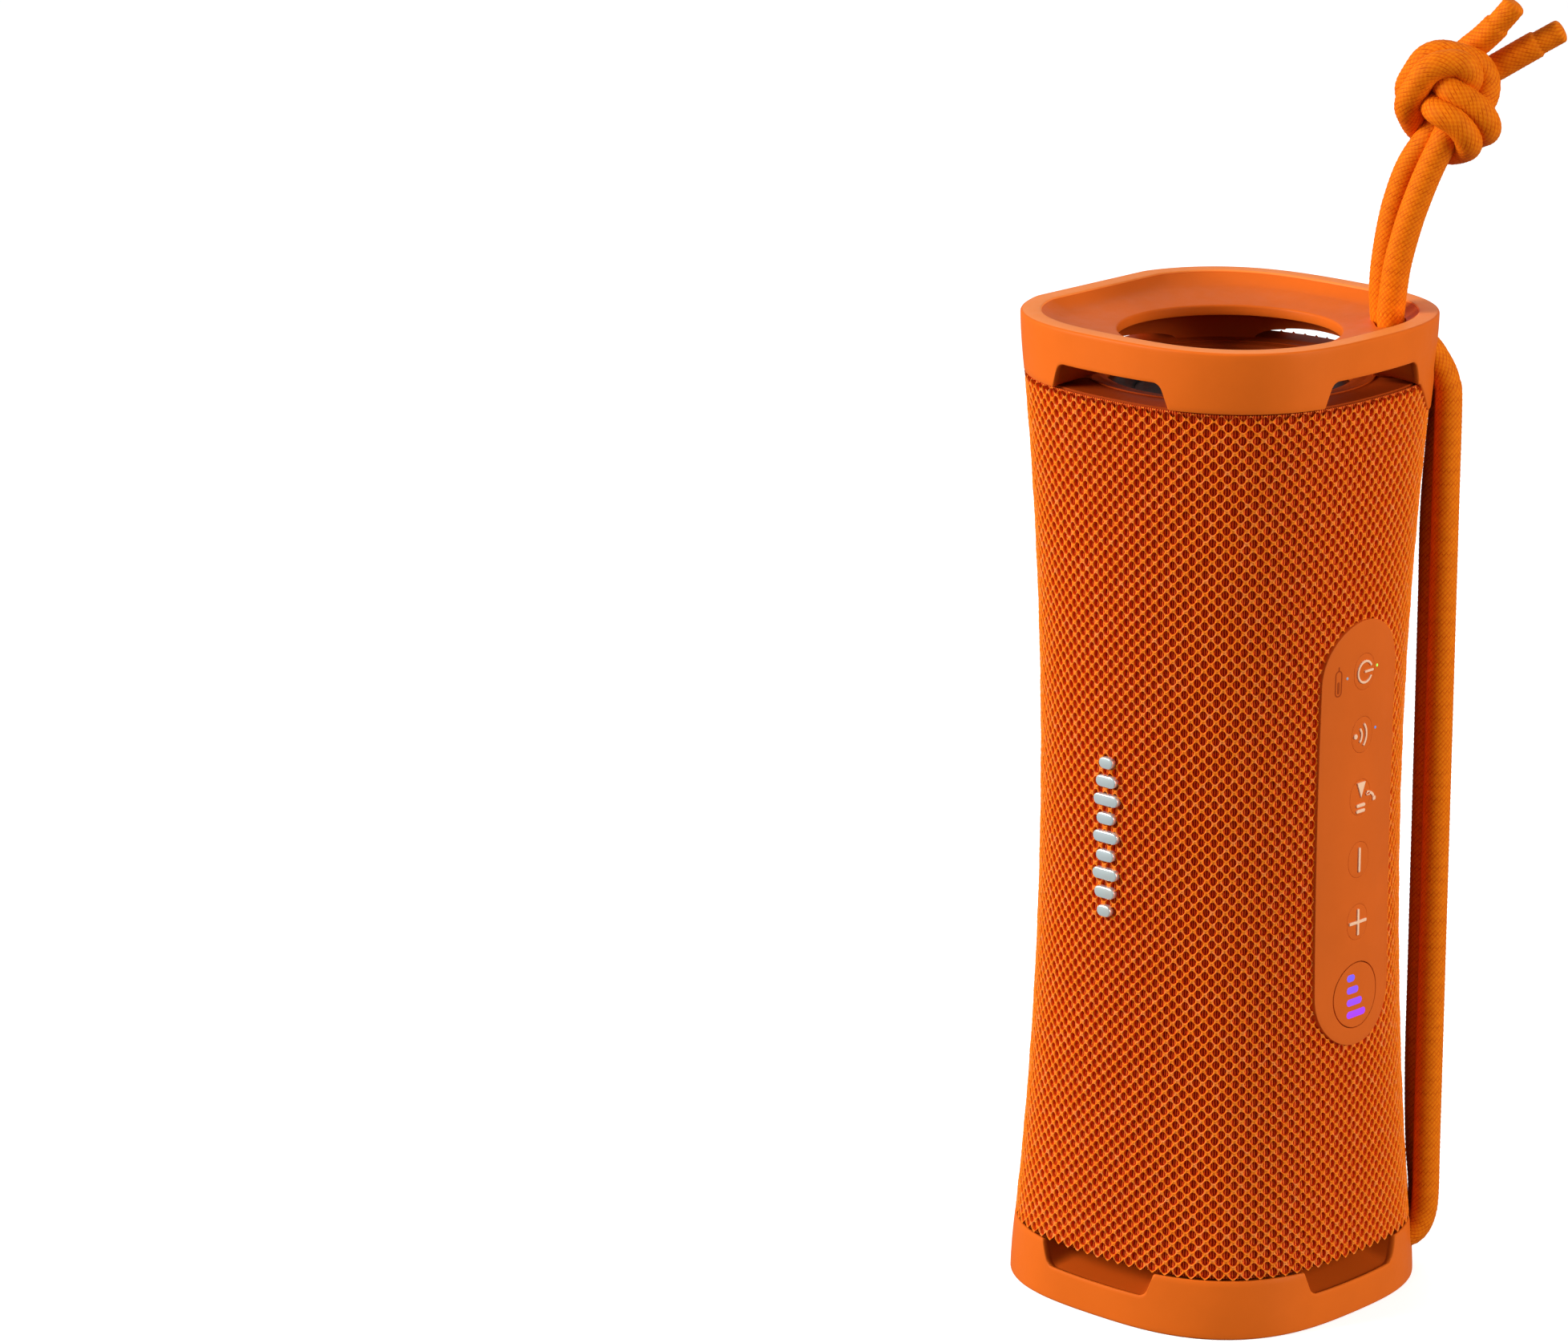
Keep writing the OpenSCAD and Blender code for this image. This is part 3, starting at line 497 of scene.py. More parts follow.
def knit_material():
    """Threads of the sleeve's open knit. Its map's unit is one column and one row of holes."""
    s = Shader("knit_threads", (0.95, 0.2, 0.01), 0.7, Specular_IOR_Level=0.15, Specular_Tint=YARN_TINT)
    u, v, depth = s.cell()
    # Two sets of thread lines, along the two diagonals of the lattice
    falling = s.maths("ADD", u, s.times(v, 2))
    rising = s.maths("SUBTRACT", u, s.times(v, 2))
    ply_a = s.maths("SINE", s.maths("ADD", s.times(falling, TURN * 3), s.times(rising, TURN * 2)))
    ply_b = s.maths("SINE", s.maths("SUBTRACT", s.times(rising, TURN * 3), s.times(falling, TURN * 2)))
    ply = s.times(s.maths("ADD", ply_a, ply_b), 0.5)
    tone = s.noise(700, 3)
    thread = s.ramp(tone, [(0.3, (0.95, 0.19, 0.010)), (0.5, (1.0, 0.245, 0.014)), (0.72, (1.0, 0.29, 0.07))])
    # Painted shade: the threads' colour darkens deeper into each hole
    inside = s.ramp(depth, [(0.3, 0), (0.7, 1)])
    # Small dark points where four cells meet
    meeting = s.times(s.maths("COSINE", s.times(u, TURN / 2)), s.maths("COSINE", s.times(v, TURN)))
    point = s.ramp(s.maths("MULTIPLY_ADD", meeting, 0.5, 0.5), [(0.012, 1), (0.05, 0)])
    thread = s.mix(s.times(point, 0.6), thread, (0.50, 0.04, 0.001))
    s.paint(s.mix(inside, thread, (0.74, 0.065, 0.004)))
    normal = s.bump(ply, 0.35, 0.00006)
    s.bump(s.noise(6000, 2), 0.25, 0.00004, normal)
    return s.material


def knit_back_material():
    """Dark spacer yarns seen through the knit's holes."""
    s = Shader("knit_spacer", (0.5, 0.03, 0.0), 0.9, Specular_IOR_Level=0.1)
    wobble = s.times(s.noise(900, 2), 0.25)
    strands = s.maths("SINE", s.times(s.maths("ADD", s.cell()[0], wobble), TURN * 2.5))
    s.paint(s.ramp(s.maths("MULTIPLY_ADD", strands, 0.5, 0.5),
                   [(0.30, (0.38, 0.018, 0.0)), (0.7, (0.92, 0.08, 0.005)), (0.95, (1.0, 0.25, 0.035))]))
    s.bump(strands, 0.6, 0.0001)
    return s.material


def braid_material():
    """Braided cord. The cell attribute counts carriers round the cord and picks along it."""
    s = Shader("braided_cord", (0.9, 0.19, 0.004), 0.6, Specular_IOR_Level=0.15, Specular_Tint=YARN_TINT)
    u, v, height = s.cell()
    a = s.maths("ADD", u, v)
    b = s.maths("SUBTRACT", u, v)
    ply = s.maths("SINE", s.times(s.maths("ADD", s.times(a, 3), b), TURN))
    # Painted shade in the braid's hollows and painted highlight on its crests, following the relief height
    shade = s.ramp(height, [(0.0, (0.52, 0.055, 0.0)), (0.35, (0.85, 0.160, 0.003)),
                            (0.8, (0.94, 0.245, 0.005)), (1.0, (0.96, 0.30, 0.010))])
    tint = s.ramp(s.noise(500, 3), [(0.3, (0.88, 0.82, 0.8)), (0.7, (1, 1, 1))])
    mul = s.node("ShaderNodeMix", data_type="RGBA", blend_type="MULTIPLY")
    mul.inputs["Factor"].default_value = 1
    s.link(shade, mul.inputs[6])
    s.link(tint, mul.inputs[7])
    s.paint(mul.outputs[2])
    normal = s.bump(ply, 0.25, 0.00005)
    s.bump(s.noise(7000, 2), 0.2, 0.00003, normal)
    return s.material


def badge_material():
    """Plated bars whose colour drifts from steel blue through green to rose."""
    s = Shader("badge_plating", (0.85, 0.9, 0.95), 0.28, Metallic=0.6, Coat_Weight=0.6, Coat_Roughness=0.08)
    drift = s.noise(1.0, 2, vector=s.coordinates((60, 1, 26)))
    s.paint(s.ramp(drift, [(0.25, (0.62, 0.72, 0.98)), (0.42, (0.85, 0.96, 1.0)), (0.55, (0.84, 0.95, 0.93)),
                           (0.68, (0.98, 0.82, 0.72)), (0.8, (0.88, 0.66, 0.92))]))
    return s.material


def glow(name, colour, strength):
    """Lit lens."""
    s = Shader(name, colour, 0.25, Emission_Color=(*colour, 1), Emission_Strength=strength, Coat_Weight=0.4)
    s.rough(0.2, 0.3, s.noise(900, 4))
    return s.material


def boost_glow():
    """Lit symbol that turns from blue violet to magenta violet down its height."""
    s = Shader("boost_glow", (0.04, 0.01, 0.08), 0.35, Emission_Strength=1.0)
    along = s.maths("MULTIPLY_ADD", s.split(s.coordinates())[2], 100, 0.5 - BOOST_Z * MM * 100)
    colour = s.ramp(along, [(0.1, (0.42, 0.05, 1.0)), (0.9, (0.19, 0.12, 1.0))])
    s.link(colour, s.bsdf.inputs["Emission Color"])
    return s.material


def board_material():
    """Solder mask with faint copper tracks below it."""
    s = Shader("circuit_board", (0.01, 0.10, 0.035), 0.32, Coat_Weight=0.3)
    brick = s.node("ShaderNodeTexBrick")
    brick.inputs["Scale"].default_value = 260
    brick.inputs["Color1"].default_value = (0.008, 0.085, 0.03, 1)
    brick.inputs["Color2"].default_value = (0.012, 0.12, 0.045, 1)
    brick.inputs["Mortar"].default_value = (0.03, 0.2, 0.07, 1)
    s.link(s.coordinates(), brick.inputs["Vector"])
    s.paint(brick.outputs["Color"])
    s.bump(brick.outputs["Fac"], 0.2, 0.00003)
    return s.material


PANEL_ORANGE = (0.72, 0.130, 0.014)
# Painted highlight colour for the caps' rims, then painted shade colour for their dishes and insides
CAP_PAINTED_LIGHT_TONES = ((1.0, 0.27, 0.05), (0.52, 0.075, 0.005))
MATERIALS = {
    "sleeve_knit": knit_material(),
    "sleeve_back": knit_back_material(),
    "indicator_lens": glow("indicator_lens", (0.35, 0.95, 0.30), 1.2),
    "circuit_board": board_material(),
    "badge_metal": badge_material(),
    "strap_braid": braid_material(),
}
for make, kinds in (
        (soft_touch, {
            "cap_rubber": ((0.82, 0.150, 0.012), 0.42, 0.00003, CAP_PAINTED_LIGHT_TONES),
            "end_plastic": ((0.40, 0.048, 0.003), 0.6),
            "radiator_rubber": ((0.014, 0.014, 0.015), 0.38, 0.00001),
            "panel_rubber": (PANEL_ORANGE,),
            "key_rubber": (PANEL_ORANGE,),
            "port_rubber": (PANEL_ORANGE,),
            "icon_rubber": ((1.0, 0.60, 0.38), 0.45)}),
        (moulded, {
            "cabinet_plastic": ((0.02, 0.02, 0.022), 0.55),
            "gasket_foam": ((0.03, 0.03, 0.03), 0.9, 0.0002),
            "radiator_plate": ((0.012, 0.012, 0.013), 0.42),
            "cone_paper": ((0.02, 0.02, 0.02), 0.85, 0.0001),
            "spider_cloth": ((0.42, 0.25, 0.08), 0.8, 0.0001),
            "magnet_metal": ((0.07, 0.07, 0.075), 0.4, 0.00002, 0.6),
            "cell_wrap": ((0.03, 0.12, 0.42), 0.3, 0.00002),
            "chip_resin": ((0.012, 0.012, 0.013), 0.45),
            "lead_insulation": ((0.4, 0.015, 0.012), 0.35, 0.00002)}),
        (metal, {
            "steel": ((0.55, 0.55, 0.56),),
            "copper_coil": ((0.72, 0.33, 0.16), 0.3, (1, 60, 1)),
            "dome_metal": ((0.75, 0.75, 0.77), 0.25),
            "switch_metal": ((0.7, 0.7, 0.72),)})):
    for kind, settings in kinds.items():
        MATERIALS[kind] = make(kind, *settings)


def dress_cad_nodes():
    """Gives every CAD node the procedural material of its slot."""
    slot_of = {part["node"]: part["material_slot"] for part in frame["record"]["subparts"]}
    for name, node in frame["nodes"].items():
        node.data.materials.clear()
        node.data.materials.append(MATERIALS[slot_of[name]])
        node.data.shade_smooth()
        node.data.set_sharp_from_angle(angle=math.radians(30))


# ---- Camera, light and floor ----

def make_camera():
    data = bpy.data.cameras.new("camera")
    data.sensor_width = 36
    data.lens = 142.5
    data.clip_start = 0.02
    cam = add_object("camera", data)
    cam.location = (0.7781, -0.9521, 0.4701)
    cam.rotation_euler = (math.radians(74.50), 0, CAMERA_YAW)
    bpy.context.scene.camera = cam


def area_light(name, place, size, power):
    """Soft lamp aimed at the middle of the speaker."""
    data = bpy.data.lights.new(name, "AREA")
    data.shape = "RECTANGLE"
    data.size, data.size_y = size
    data.energy = power
    lamp = add_object(name, data)
    lamp.location = place
    lamp.rotation_euler = (Vector((0, 0, 0.12)) - Vector(place)).to_track_quat("-Z", "Y").to_euler()


def make_stage():
    """Pale floor that curves up into a backdrop, soft light and a pale world."""
    reach, bend, rise = 3.0, 0.9, 3.0
    profile = [(-1.6, 0.0), (reach, 0.0)]
    profile += [(reach + bend * math.sin(a), bend * (1 - math.cos(a)))
                for a in np.linspace(0.15, math.pi / 2, 10)]
    profile.append((reach + bend, rise))
    yaw = math.radians(90) + CAMERA_YAW
    points = []
    for along, height in profile:
        for side in (-4.0, 4.0):
            x = along * math.cos(yaw) - side * math.sin(yaw)
            y = along * math.sin(yaw) + side * math.cos(yaw)
            points.append((x / MM, y / MM, height / MM))
    floor = quad_mesh("studio_floor", points, grid_quads(len(profile), 2))
    s = Shader("studio_floor", (0.93, 0.93, 0.93), 0.6, Emission_Color=(1, 1, 1, 1), Emission_Strength=0.6)
    s.rough(0.55, 0.65, s.noise(3, 4))
    floor.data.materials.append(s.material)
    floor.visible_diffuse = False
    floor.visible_glossy = False
    area_light("key_light", (-0.95, -1.25, 0.75), (0.9, 0.9), 36)
    area_light("side_light", (1.55, 0.35, 0.55), (0.7, 1.2), 22)
    area_light("top_light", (-0.2, 0.3, 1.6), (1.2, 1.2), 4)
    area_light("back_light", (-0.9, 1.3, 0.9), (1.0, 1.0), 1.5)
    world = bpy.data.worlds.new("studio")
    world.use_nodes = True
    background = world.node_tree.nodes["Background"].inputs
    background["Color"].default_value = (1, 1, 1, 1)
    background["Strength"].default_value = 0.18
    bpy.context.scene.world = world
    bpy.context.scene.view_settings.view_transform = "Standard"


# ---- Strap ----

def diagonal(r, s, z):
    """Point in the strap corner's plane: r from the axis, s towards the front right, z up."""
    return ((r + s) / ROOT2, (r - s) / ROOT2, z)


TOP_BEND = [(37.6, 199.4), (40.6, 197.4), (42.7, 194.4), (43.9, 191.2)]
PIN_BEND = [(43.9, 12.6), (42.6, 9.6), (40.6, 8.2), (38, 8.4)]
NEAR_RUN = [(32.2, 205.5), (32.4, 203.1), (34, 200.9), *TOP_BEND, (44.4, 187),
            *((44.4, z) for z in range(165, 44, -20)), (44.4, 28), (44.4, 17), *PIN_BEND]
FAR_RUN = [(31.4, 205.5), (31.8, 203.1), (33.8, 200.9), *TOP_BEND, (44.2, 187),
           *((42.9, z) for z in range(165, 44, -20)), (43.4, 28), (44.3, 17), *PIN_BEND]
NEAR_FREE = [(32.2, 3, 205.6), (32.6, 3, 210), (33.4, 3, 216), (35.4, 3, 224), (38, 2.9, 232)]
FAR_FREE = [(31.4, -3, 205.6), (31.2, -3, 210), (31.6, -3, 216), (32.8, -3, 224), (35, -2.9, 233)]
KNOT_CENTRE = np.array(diagonal(44.2, 0, 248))
KNOT_RIGHT = np.array((0.726, 0.688, 0.0))
KNOT_FRONT = np.array((0.663, -0.699, 0.267))
KNOT_UP = np.cross(KNOT_FRONT, KNOT_RIGHT)
# The overhand knot that both strands are tied in together, as (right, up, towards the front) from its
# centre: up through the core, left over the top, down behind the standing strands, up across the front,
# in at the left and out at the top right
NEAR_KNOT = [(-2.6, -7.8, 1.0), (-0.4, -4.6, 1.2), (2.3, -1.3, 1), (4.7, 1.7, 0.5), (5.5, 4.7, 1.8),
             (4.2, 7.4, 3), (1.7, 9.3, 3), (-1.8, 8.7, 2.2), (-5, 6.6, 0.8), (-7.1, 3.3, -1.2),
             (-7.4, -0.5, -5), (-5.9, -4, -9.5), (-3.1, -6.7, -12.5), (0.4, -7.8, -11.5), (3.5, -7.5, -6.5),
             (4.9, -5.5, -1), (4.9, -2.9, 3.2), (4.1, -0.5, 5.2), (2.3, 2, 6), (-0.2, 3.1, 6), (-2.6, 2.9, 4),
             (-3.7, 3.5, 0.5), (-3.1, 4.9, -2.5), (-0.7, 7.1, -4), (2.3, 9, -3.4), (5, 11.4, -1),
             (8, 14.4, 1.5), (11.3, 18.6, 4)]
FAR_KNOT = [(-5.6, -5.1, -3.6), (-3.1, -2.4, -2.6), (0.1, 0.3, -0.8), (2.7, 2, 1.5), (3.6, 4.1, 4.5),
            (2.5, 7.1, 7), (0.1, 8.6, 7.8), (-3.1, 7.4, 7), (-5.6, 4.8, 5.5), (-6.8, 1.1, 3), (-6.6, -2.7, -2),
            (-5, -5.6, -7.5), (-1.8, -9.2, -8.2), (0.7, -10.1, -4.6), (2.1, -8.9, 0.5), (1.7, -6.2, 5),
            (-0.7, -3, 7.8), (-3, -1.4, 7.5), (-4.9, -0.5, 4.5), (-5.5, 0.8, 0.5), (-4.5, 2, -3.5),
            (-1.8, 3.1, -6.5), (2, 4.1, -7.5), (6.1, 5.5, -5.5), (11.2, 8.7, -3), (16.1, 11.4, -1.5),
            (21, 14, 0.2)]
KNOT_STEP = 0.9


def line_run(line):
    """Distance along a line at each of its points."""
    return np.concatenate([[0], np.cumsum(np.linalg.norm(np.diff(line, axis=0), axis=1))])


def directions(line):
    tangent = np.gradient(line, axis=0)
    return tangent / np.linalg.norm(tangent, axis=1)[:, None]


def smooth_line(points, step):
    """Catmull-Rom line through points, with points at an even spacing."""
    p = np.asarray(points, float)
    ends = np.vstack([2 * p[0] - p[1], p, 2 * p[-1] - p[-2]])
    fine = []
    for i in range(1, len(ends) - 2):
        a, b, c, d = ends[i - 1:i + 3]
        t = np.linspace(0, 1, 24, endpoint=False)[:, None]
        fine.append(0.5 * (2 * b + (c - a) * t + (2 * a - 5 * b + 4 * c - d) * t ** 2
                           + (3 * b - a - 3 * c + d) * t ** 3))
    fine = np.vstack(fine + [p[-1:]])
    run = line_run(fine)
    at = np.linspace(0, run[-1], max(4, int(round(run[-1] / step)) + 1))
    return np.stack([np.interp(at, run, fine[:, k]) for k in range(3)], -1)


def braid_tube(name, line, sealed_tip=False):
    """Braided cord round a line, with diamond relief and closed ends; a sealed tip is a little thinner."""
    tangent = directions(line)
    u = np.cross(tangent[0], (0.3, 0.5, 0.1))
    frames = []
    for t in tangent:
        u = u - t * (u @ t)
        u /= np.linalg.norm(u)
        frames.append(u)
    side_u = np.array(frames)
    side_v = np.cross(tangent, side_u)
    run = line_run(line)
    # The seam column carries the map past one turn, and lies on the first column
    phi = np.linspace(0, TURN, BRAID_SIDES + 1)
    around, along = np.meshgrid(BRAID_CARRIERS * phi / TURN, run / BRAID_PICK)
    bumps = np.abs(np.cos(math.pi * (around + along)) * np.cos(math.pi * (around - along))) ** 0.7
    radius = CORD_D / 2 - BRAID_RELIEF + BRAID_RELIEF * bumps
    if sealed_tip:
        radius *= 1 - 0.13 * smoothstep((TIP_L - run[-1] + run) / 0.5)[:, None]
    points = line[:, None] + radius[..., None] * (np.cos(phi)[None, :, None] * side_u[:, None]
                                                  + np.sin(phi)[None, :, None] * side_v[:, None])
    cell = np.stack([around, along, bumps], -1)
    # Rings that close each end
    closing = np.linspace(0.25, math.pi / 2, 6)
    caps = [[line[at] + way * math.sin(t) + (points[at] - line[at]) * max(math.cos(t) ** 0.7, 0.01)
             for t in closing] for at, way in ((0, -tangent[0]), (-1, tangent[-1]))]
    points = np.concatenate([caps[0][::-1], points, caps[1]])
    cell = np.concatenate([[cell[0]] * len(closing), cell, [cell[-1]] * len(closing)])
    rows, cols = points.shape[:2]
    uv = np.stack(np.meshgrid(np.linspace(0, 1, cols), np.linspace(0, 1, rows)), -1).reshape(-1, 2)
    quads = grid_quads(rows, cols)
    merged = quads // cols * BRAID_SIDES + quads % cols % BRAID_SIDES
    obj = quad_mesh(name, points[:, :-1].reshape(-1, 3), merged, uv[quads])
    set_cells(obj, "CORNER", cell.reshape(-1, 3)[quads])
    return face_outward(obj)


def held_strap():
    """The strap's held run: down one strand, round the pin inside the bottom cap and up the other."""
    turn = arc(9.9, 120, 240, (33, 0), 4)
    route = [diagonal(r, STRAND_GAP, z) for r, z in NEAR_RUN]
    route.append(diagonal(35.6, STRAND_GAP + 0.8, 9))
    route += [diagonal(r, s, 9.3) for r, s in turn]
    route.append(diagonal(35.6, -STRAND_GAP - 0.8, 9))
    route += [diagonal(r, -STRAND_GAP, z) for r, z in FAR_RUN[::-1]]
    strap = braid_tube("strap_held_run", smooth_line(route, 0.31))
    finish_piece(strap, "strap_braid", "strap_loop")


def in_knot(route):
    route = np.array(route, float)
    return KNOT_CENTRE + route[:, :1] * KNOT_RIGHT + route[:, 1:2] * KNOT_UP + route[:, 2:] * KNOT_FRONT


def pull_tight(lines, rounds=400, gap=0.85 * CORD_D):
    """Settles cord lines against each other: no two lengths stay closer than gap, and bends stay round."""
    strand = np.repeat(np.arange(len(lines)), [len(line) for line in lines])
    p = np.vstack(lines)
    home, n = p.copy(), len(p)
    i, j = np.triu_indices(n, 1)
    apart = (strand[i] != strand[j]) | ((j - i) * KNOT_STEP > 1.25 * CORD_D)
    i, j = i[apart], j[apart]
    # The first 22 mm and the tips stay where they are
    free = np.ones((n, 1))
    for k in range(len(lines)):
        mine = np.where(strand == k)[0]
        free[mine[:int(22 / KNOT_STEP)]] = 0
        free[mine[-2:]] = 0
    a = np.where(strand[:-1] == strand[1:])[0]
    middle = np.where(strand[:-2] == strand[2:])[0] + 1
    rest = np.linalg.norm(p[a + 1] - p[a], axis=1)

    def shared(part, low, high):
        """Sum of every pair's part, taken off at its low end and added at its high end."""
        total = np.zeros_like(p)
        np.add.at(total, low, -part)
        np.add.at(total, high, part)
        return total

    for turn in range(rounds):
        d = p[j] - p[i]
        length = np.linalg.norm(d, axis=1)
        hit = length < gap
        part = d[hit] / length[hit, None] * (gap - length[hit])[:, None] * 0.5
        count = np.bincount(np.concatenate([i[hit], j[hit]]), minlength=n)
        p += shared(part, i[hit], j[hit]) / np.maximum(count, 1)[:, None] * 1.3 * free
        d = p[a + 1] - p[a]
        length = np.linalg.norm(d, axis=1)
        p += shared(-d / length[:, None] * (length - rest)[:, None] * 0.25, a, a + 1) * free
        bend = np.zeros_like(p)
        bend[middle] = (p[middle - 1] + p[middle + 1]) / 2 - p[middle]
        p += bend * 0.25 * free
        if turn < rounds - 100:
            p += (home - p) * 0.04 * free
    return [p[strand == k] for k in range(len(lines))]


def free_strap():
    """The two free ends, each from the dish through the knot to its tip."""
    routes = [np.vstack([[diagonal(*q) for q in free], in_knot(knot)])
              for free, knot in ((NEAR_FREE, NEAR_KNOT), (FAR_FREE, FAR_KNOT))]
    lines = pull_tight([smooth_line(route, KNOT_STEP) for route in routes])
    nodes = (("strap_near_strand", "strap_near_tail", "strap_knot"), ("strap_far_strand", "strap_far_tail"))
    for name, line, old in zip(("strap_near_cord", "strap_far_cord"), lines, nodes):
        line = smooth_line(line, 0.31)
        cord = braid_tube(name, line, True)
        finish_piece(cord, "strap_braid", *old)


# ---- End caps ----

CAP_COLUMNS = 900
# Tone values: painted highlight on the rim, slight painted shade on the dish; the inside, in painted shade, is
# -1
RIM_PAINTED_HIGHLIGHT, DISH_PAINTED_SHADE = 1.0, -0.2


def cap_reach(theta, tongue):
    """Height of the cap's open edge from its end face: lower in the slots, further at the tongue."""
    r = CAP_HALF + (CAP_CORNER - CAP_HALF) * np.sin(2 * theta) ** 2
    off_flat = theta - np.round(theta / (math.pi / 2)) * (math.pi / 2)
    s = np.abs(r * np.sin(off_flat))
    low, corner = CAP_H - SLOT_H, SLOT_NARROW / 2
    slope = 2 * SLOT_H / (SLOT_WIDE - SLOT_NARROW)
    side = low + slope * (s - corner)
    # An arc fills each corner between the slot's far edge and its sloping side
    steep = math.hypot(slope, 1)
    start = corner - SLOT_FILLET * (steep - 1) / slope
    end = start + SLOT_FILLET * slope / steep
    curve = low + SLOT_FILLET - np.sqrt(np.maximum(SLOT_FILLET ** 2 - np.maximum(s - start, 0) ** 2, 0))
    edge = np.minimum(np.where(s < end, curve, side), CAP_H)
    if tongue:
        across = np.abs(r * np.sin(theta - math.pi / 4))
        facing = np.cos(theta - math.pi / 4) > 0
        rise = (TONGUE_HALF - across) * TONGUE_SLOPE
        rise = TONGUE_H - 0.8 * np.logaddexp(0, (TONGUE_H - rise) / 0.8)
        edge = np.where(facing & (across < TONGUE_HALF), np.maximum(edge, CAP_H + np.maximum(rise, 0)), edge)
    return edge


def cap_wall(theta, u, grow, z_of):
    """Outer wall of a cap at height u from its end face; past the cap it lies on the sleeve."""
    corner = CAP_CORNER - CAP_TAPER * np.clip(u / CAP_H, 0, 1) ** 1.6
    x, y = section(theta, CAP_HALF, corner, CAP_FLAT, grow)
    on_sleeve = sleeve_at(theta, z_of(np.asarray(u, float)), grow + 0.25)
    t = smoothstep((u - CAP_H) / 0.8)
    return np.stack([x + (on_sleeve[..., 0] - x) * t, y + (on_sleeve[..., 1] - y) * t,
                     np.broadcast_to(u, theta.shape)], -1)


def rounding(radius, steps, first=0):
    """Distances of a rounded edge's points from its two flat sides."""
    a = np.radians(np.linspace(0, 90, steps + 1))[first:]
    return zip(radius * (1 - np.sin(a)), radius * (1 - np.cos(a)))


def cap_points(theta, tongue, z_of):
    """Rings of a cap's closed section, from the wall's open edge over the rim, dish and chamber and back,
    and the first ring, last ring and tone of each band: painted highlight on the rim, painted shade
    on the dish and inside."""
    reach = cap_reach(theta, tongue)
    wall = lambda grow, u: cap_wall(theta, np.zeros_like(theta) + u, grow, z_of)
    turned = lambda r, u: np.stack([r * np.cos(theta), r * np.sin(theta), np.full_like(theta, u)], -1)
    between = lambda a, b, t: a * (1 - t) + b * t
    lip, bevel, inner_bevel = 0.35, 0.55, 0.4
    rings = [wall(0.0, between(reach - lip, bevel, t)) for t in np.linspace(0, 1, 13)]
    rings += [wall(-back, u) for u, back in rounding(bevel, 4, 1)]
    rim_from = len(rings) - 1
    rings += [wall(-1.6, 0.0), wall(-2.8, 0.0)]
    rings += [wall(-RIM_W + back, u) for back, u in rounding(inner_bevel, 4)]
    dish_from = len(rings) - 1
    # The dish starts steep at the rim and flattens towards its opening
    edge, steep_part = 0.45, 0.3
    start, end = wall(-RIM_W - 0.05, inner_bevel), turned(OPENING_R + edge, DISH_DEPTH)
    for t in np.concatenate([np.linspace(0.01, steep_part, 12), np.linspace(0.36, 1, 11)]):
        ring = between(start, end, t)
        steep = 1 - (1 - min(t / steep_part, 1)) ** 2
        ring[:, 2] = inner_bevel + (DISH_EDGE - inner_bevel) * steep + (DISH_DEPTH - DISH_EDGE) * t
        rings.append(ring)
    rings += [turned(OPENING_R + out, DISH_DEPTH + u) for out, u in rounding(edge, 3, 1)]
    rings += [turned(OPENING_R + out, u) for out, u in ((0, DISH_DEPTH + 1.2), (0, CHAMBER - 0.3),
                                                        (0.1, CHAMBER - 0.08), (0.3, CHAMBER))]
    # Ceiling of the chamber, then a round wall that ends in an arch in front of each slot,
    # lower over the flat underside
    off_flat = theta - np.round(theta / (math.pi / 2)) * (math.pi / 2)
    from_middle = off_flat / math.radians(ARCH_HALF)
    deep, fillet = CAP_H - 0.15, 1.2
    high = ARCH_HIGH + 1.0 * (np.cos(theta) < -0.7)
    arch = deep - (deep - high) * np.sqrt(np.maximum(1 - from_middle ** 2, 0))
    inside_from = len(rings)
    rings.append(turned((OPENING_R + INNER_R - fillet) / 2, CHAMBER))
    rings += [turned(INNER_R - back, CHAMBER + u) for back, u in rounding(fillet, 5)]
    inner = turned(INNER_R, CHAMBER + fillet)
    # From the arch the section turns back out to the wall's edge
    beyond = smoothstep((reach - CAP_H) / 0.6)[:, None]
    outer = between(wall(-CAP_WALL, reach), wall(-1.35, reach), beyond)
    back = np.minimum(reach - lip, CAP_H - 0.1)
    for far, steps, heights in ((inner, (0.4, 0.8, 1.0), (inner[:, 2], arch)),
                                (outer, (0.06, 0.35, 0.7, 1.0), (arch, back))):
        for t in steps:
            ring = between(inner, far, t)
            ring[:, 2] = between(*heights, t)
            rings.append(ring)
    outer[:, 2] = np.maximum(reach - lip, back) + 0.02
    lip_ring = wall(-lip, reach)
    rings += [outer, outer * 0.75 + lip_ring * 0.25]
    # Painted highlight on the rim, painted shade on the dish and on the inside
    painted_light_tones = [(rim_from, dish_from, RIM_PAINTED_HIGHLIGHT), (dish_from, inside_from, DISH_PAINTED_SHADE),
             (inside_from, len(rings), -1)]
    rings += [lip_ring, wall(-lip * 0.3, reach - lip * 0.3)]
    return np.array(rings), painted_light_tones


def strap_cutter(run, extra_start, extra_end):
    """Closed tunnel along the strap's held run, wide enough for both strands."""
    line = smooth_line([(r, 0, z) for r, z in [extra_start] + run + [extra_end]], 0.8)[:, [0, 2]]
    tangent = directions(line)
    normal = np.stack([tangent[:, 1], -tangent[:, 0]], -1)
    room = 0.3
    outline = np.array(stadium(2 * STRAND_GAP + CORD_D + 2 * room, CORD_D + 2 * room, steps=16))
    points = [diagonal(at[0] + across[0] * h, s, at[1] + across[1] * h)
              for at, across in zip(line, normal) for s, h in outline]
    n, rows = len(outline), len(line)
    obj = quad_mesh("strap_tunnel", np.array(points), grid_quads(rows, n, False, True))
    with editing(obj.data) as b:
        b.verts.ensure_lookup_table()
        for first in (0, (rows - 1) * n):
            b.faces.new([b.verts[first + i] for i in range(n)])
    return obj


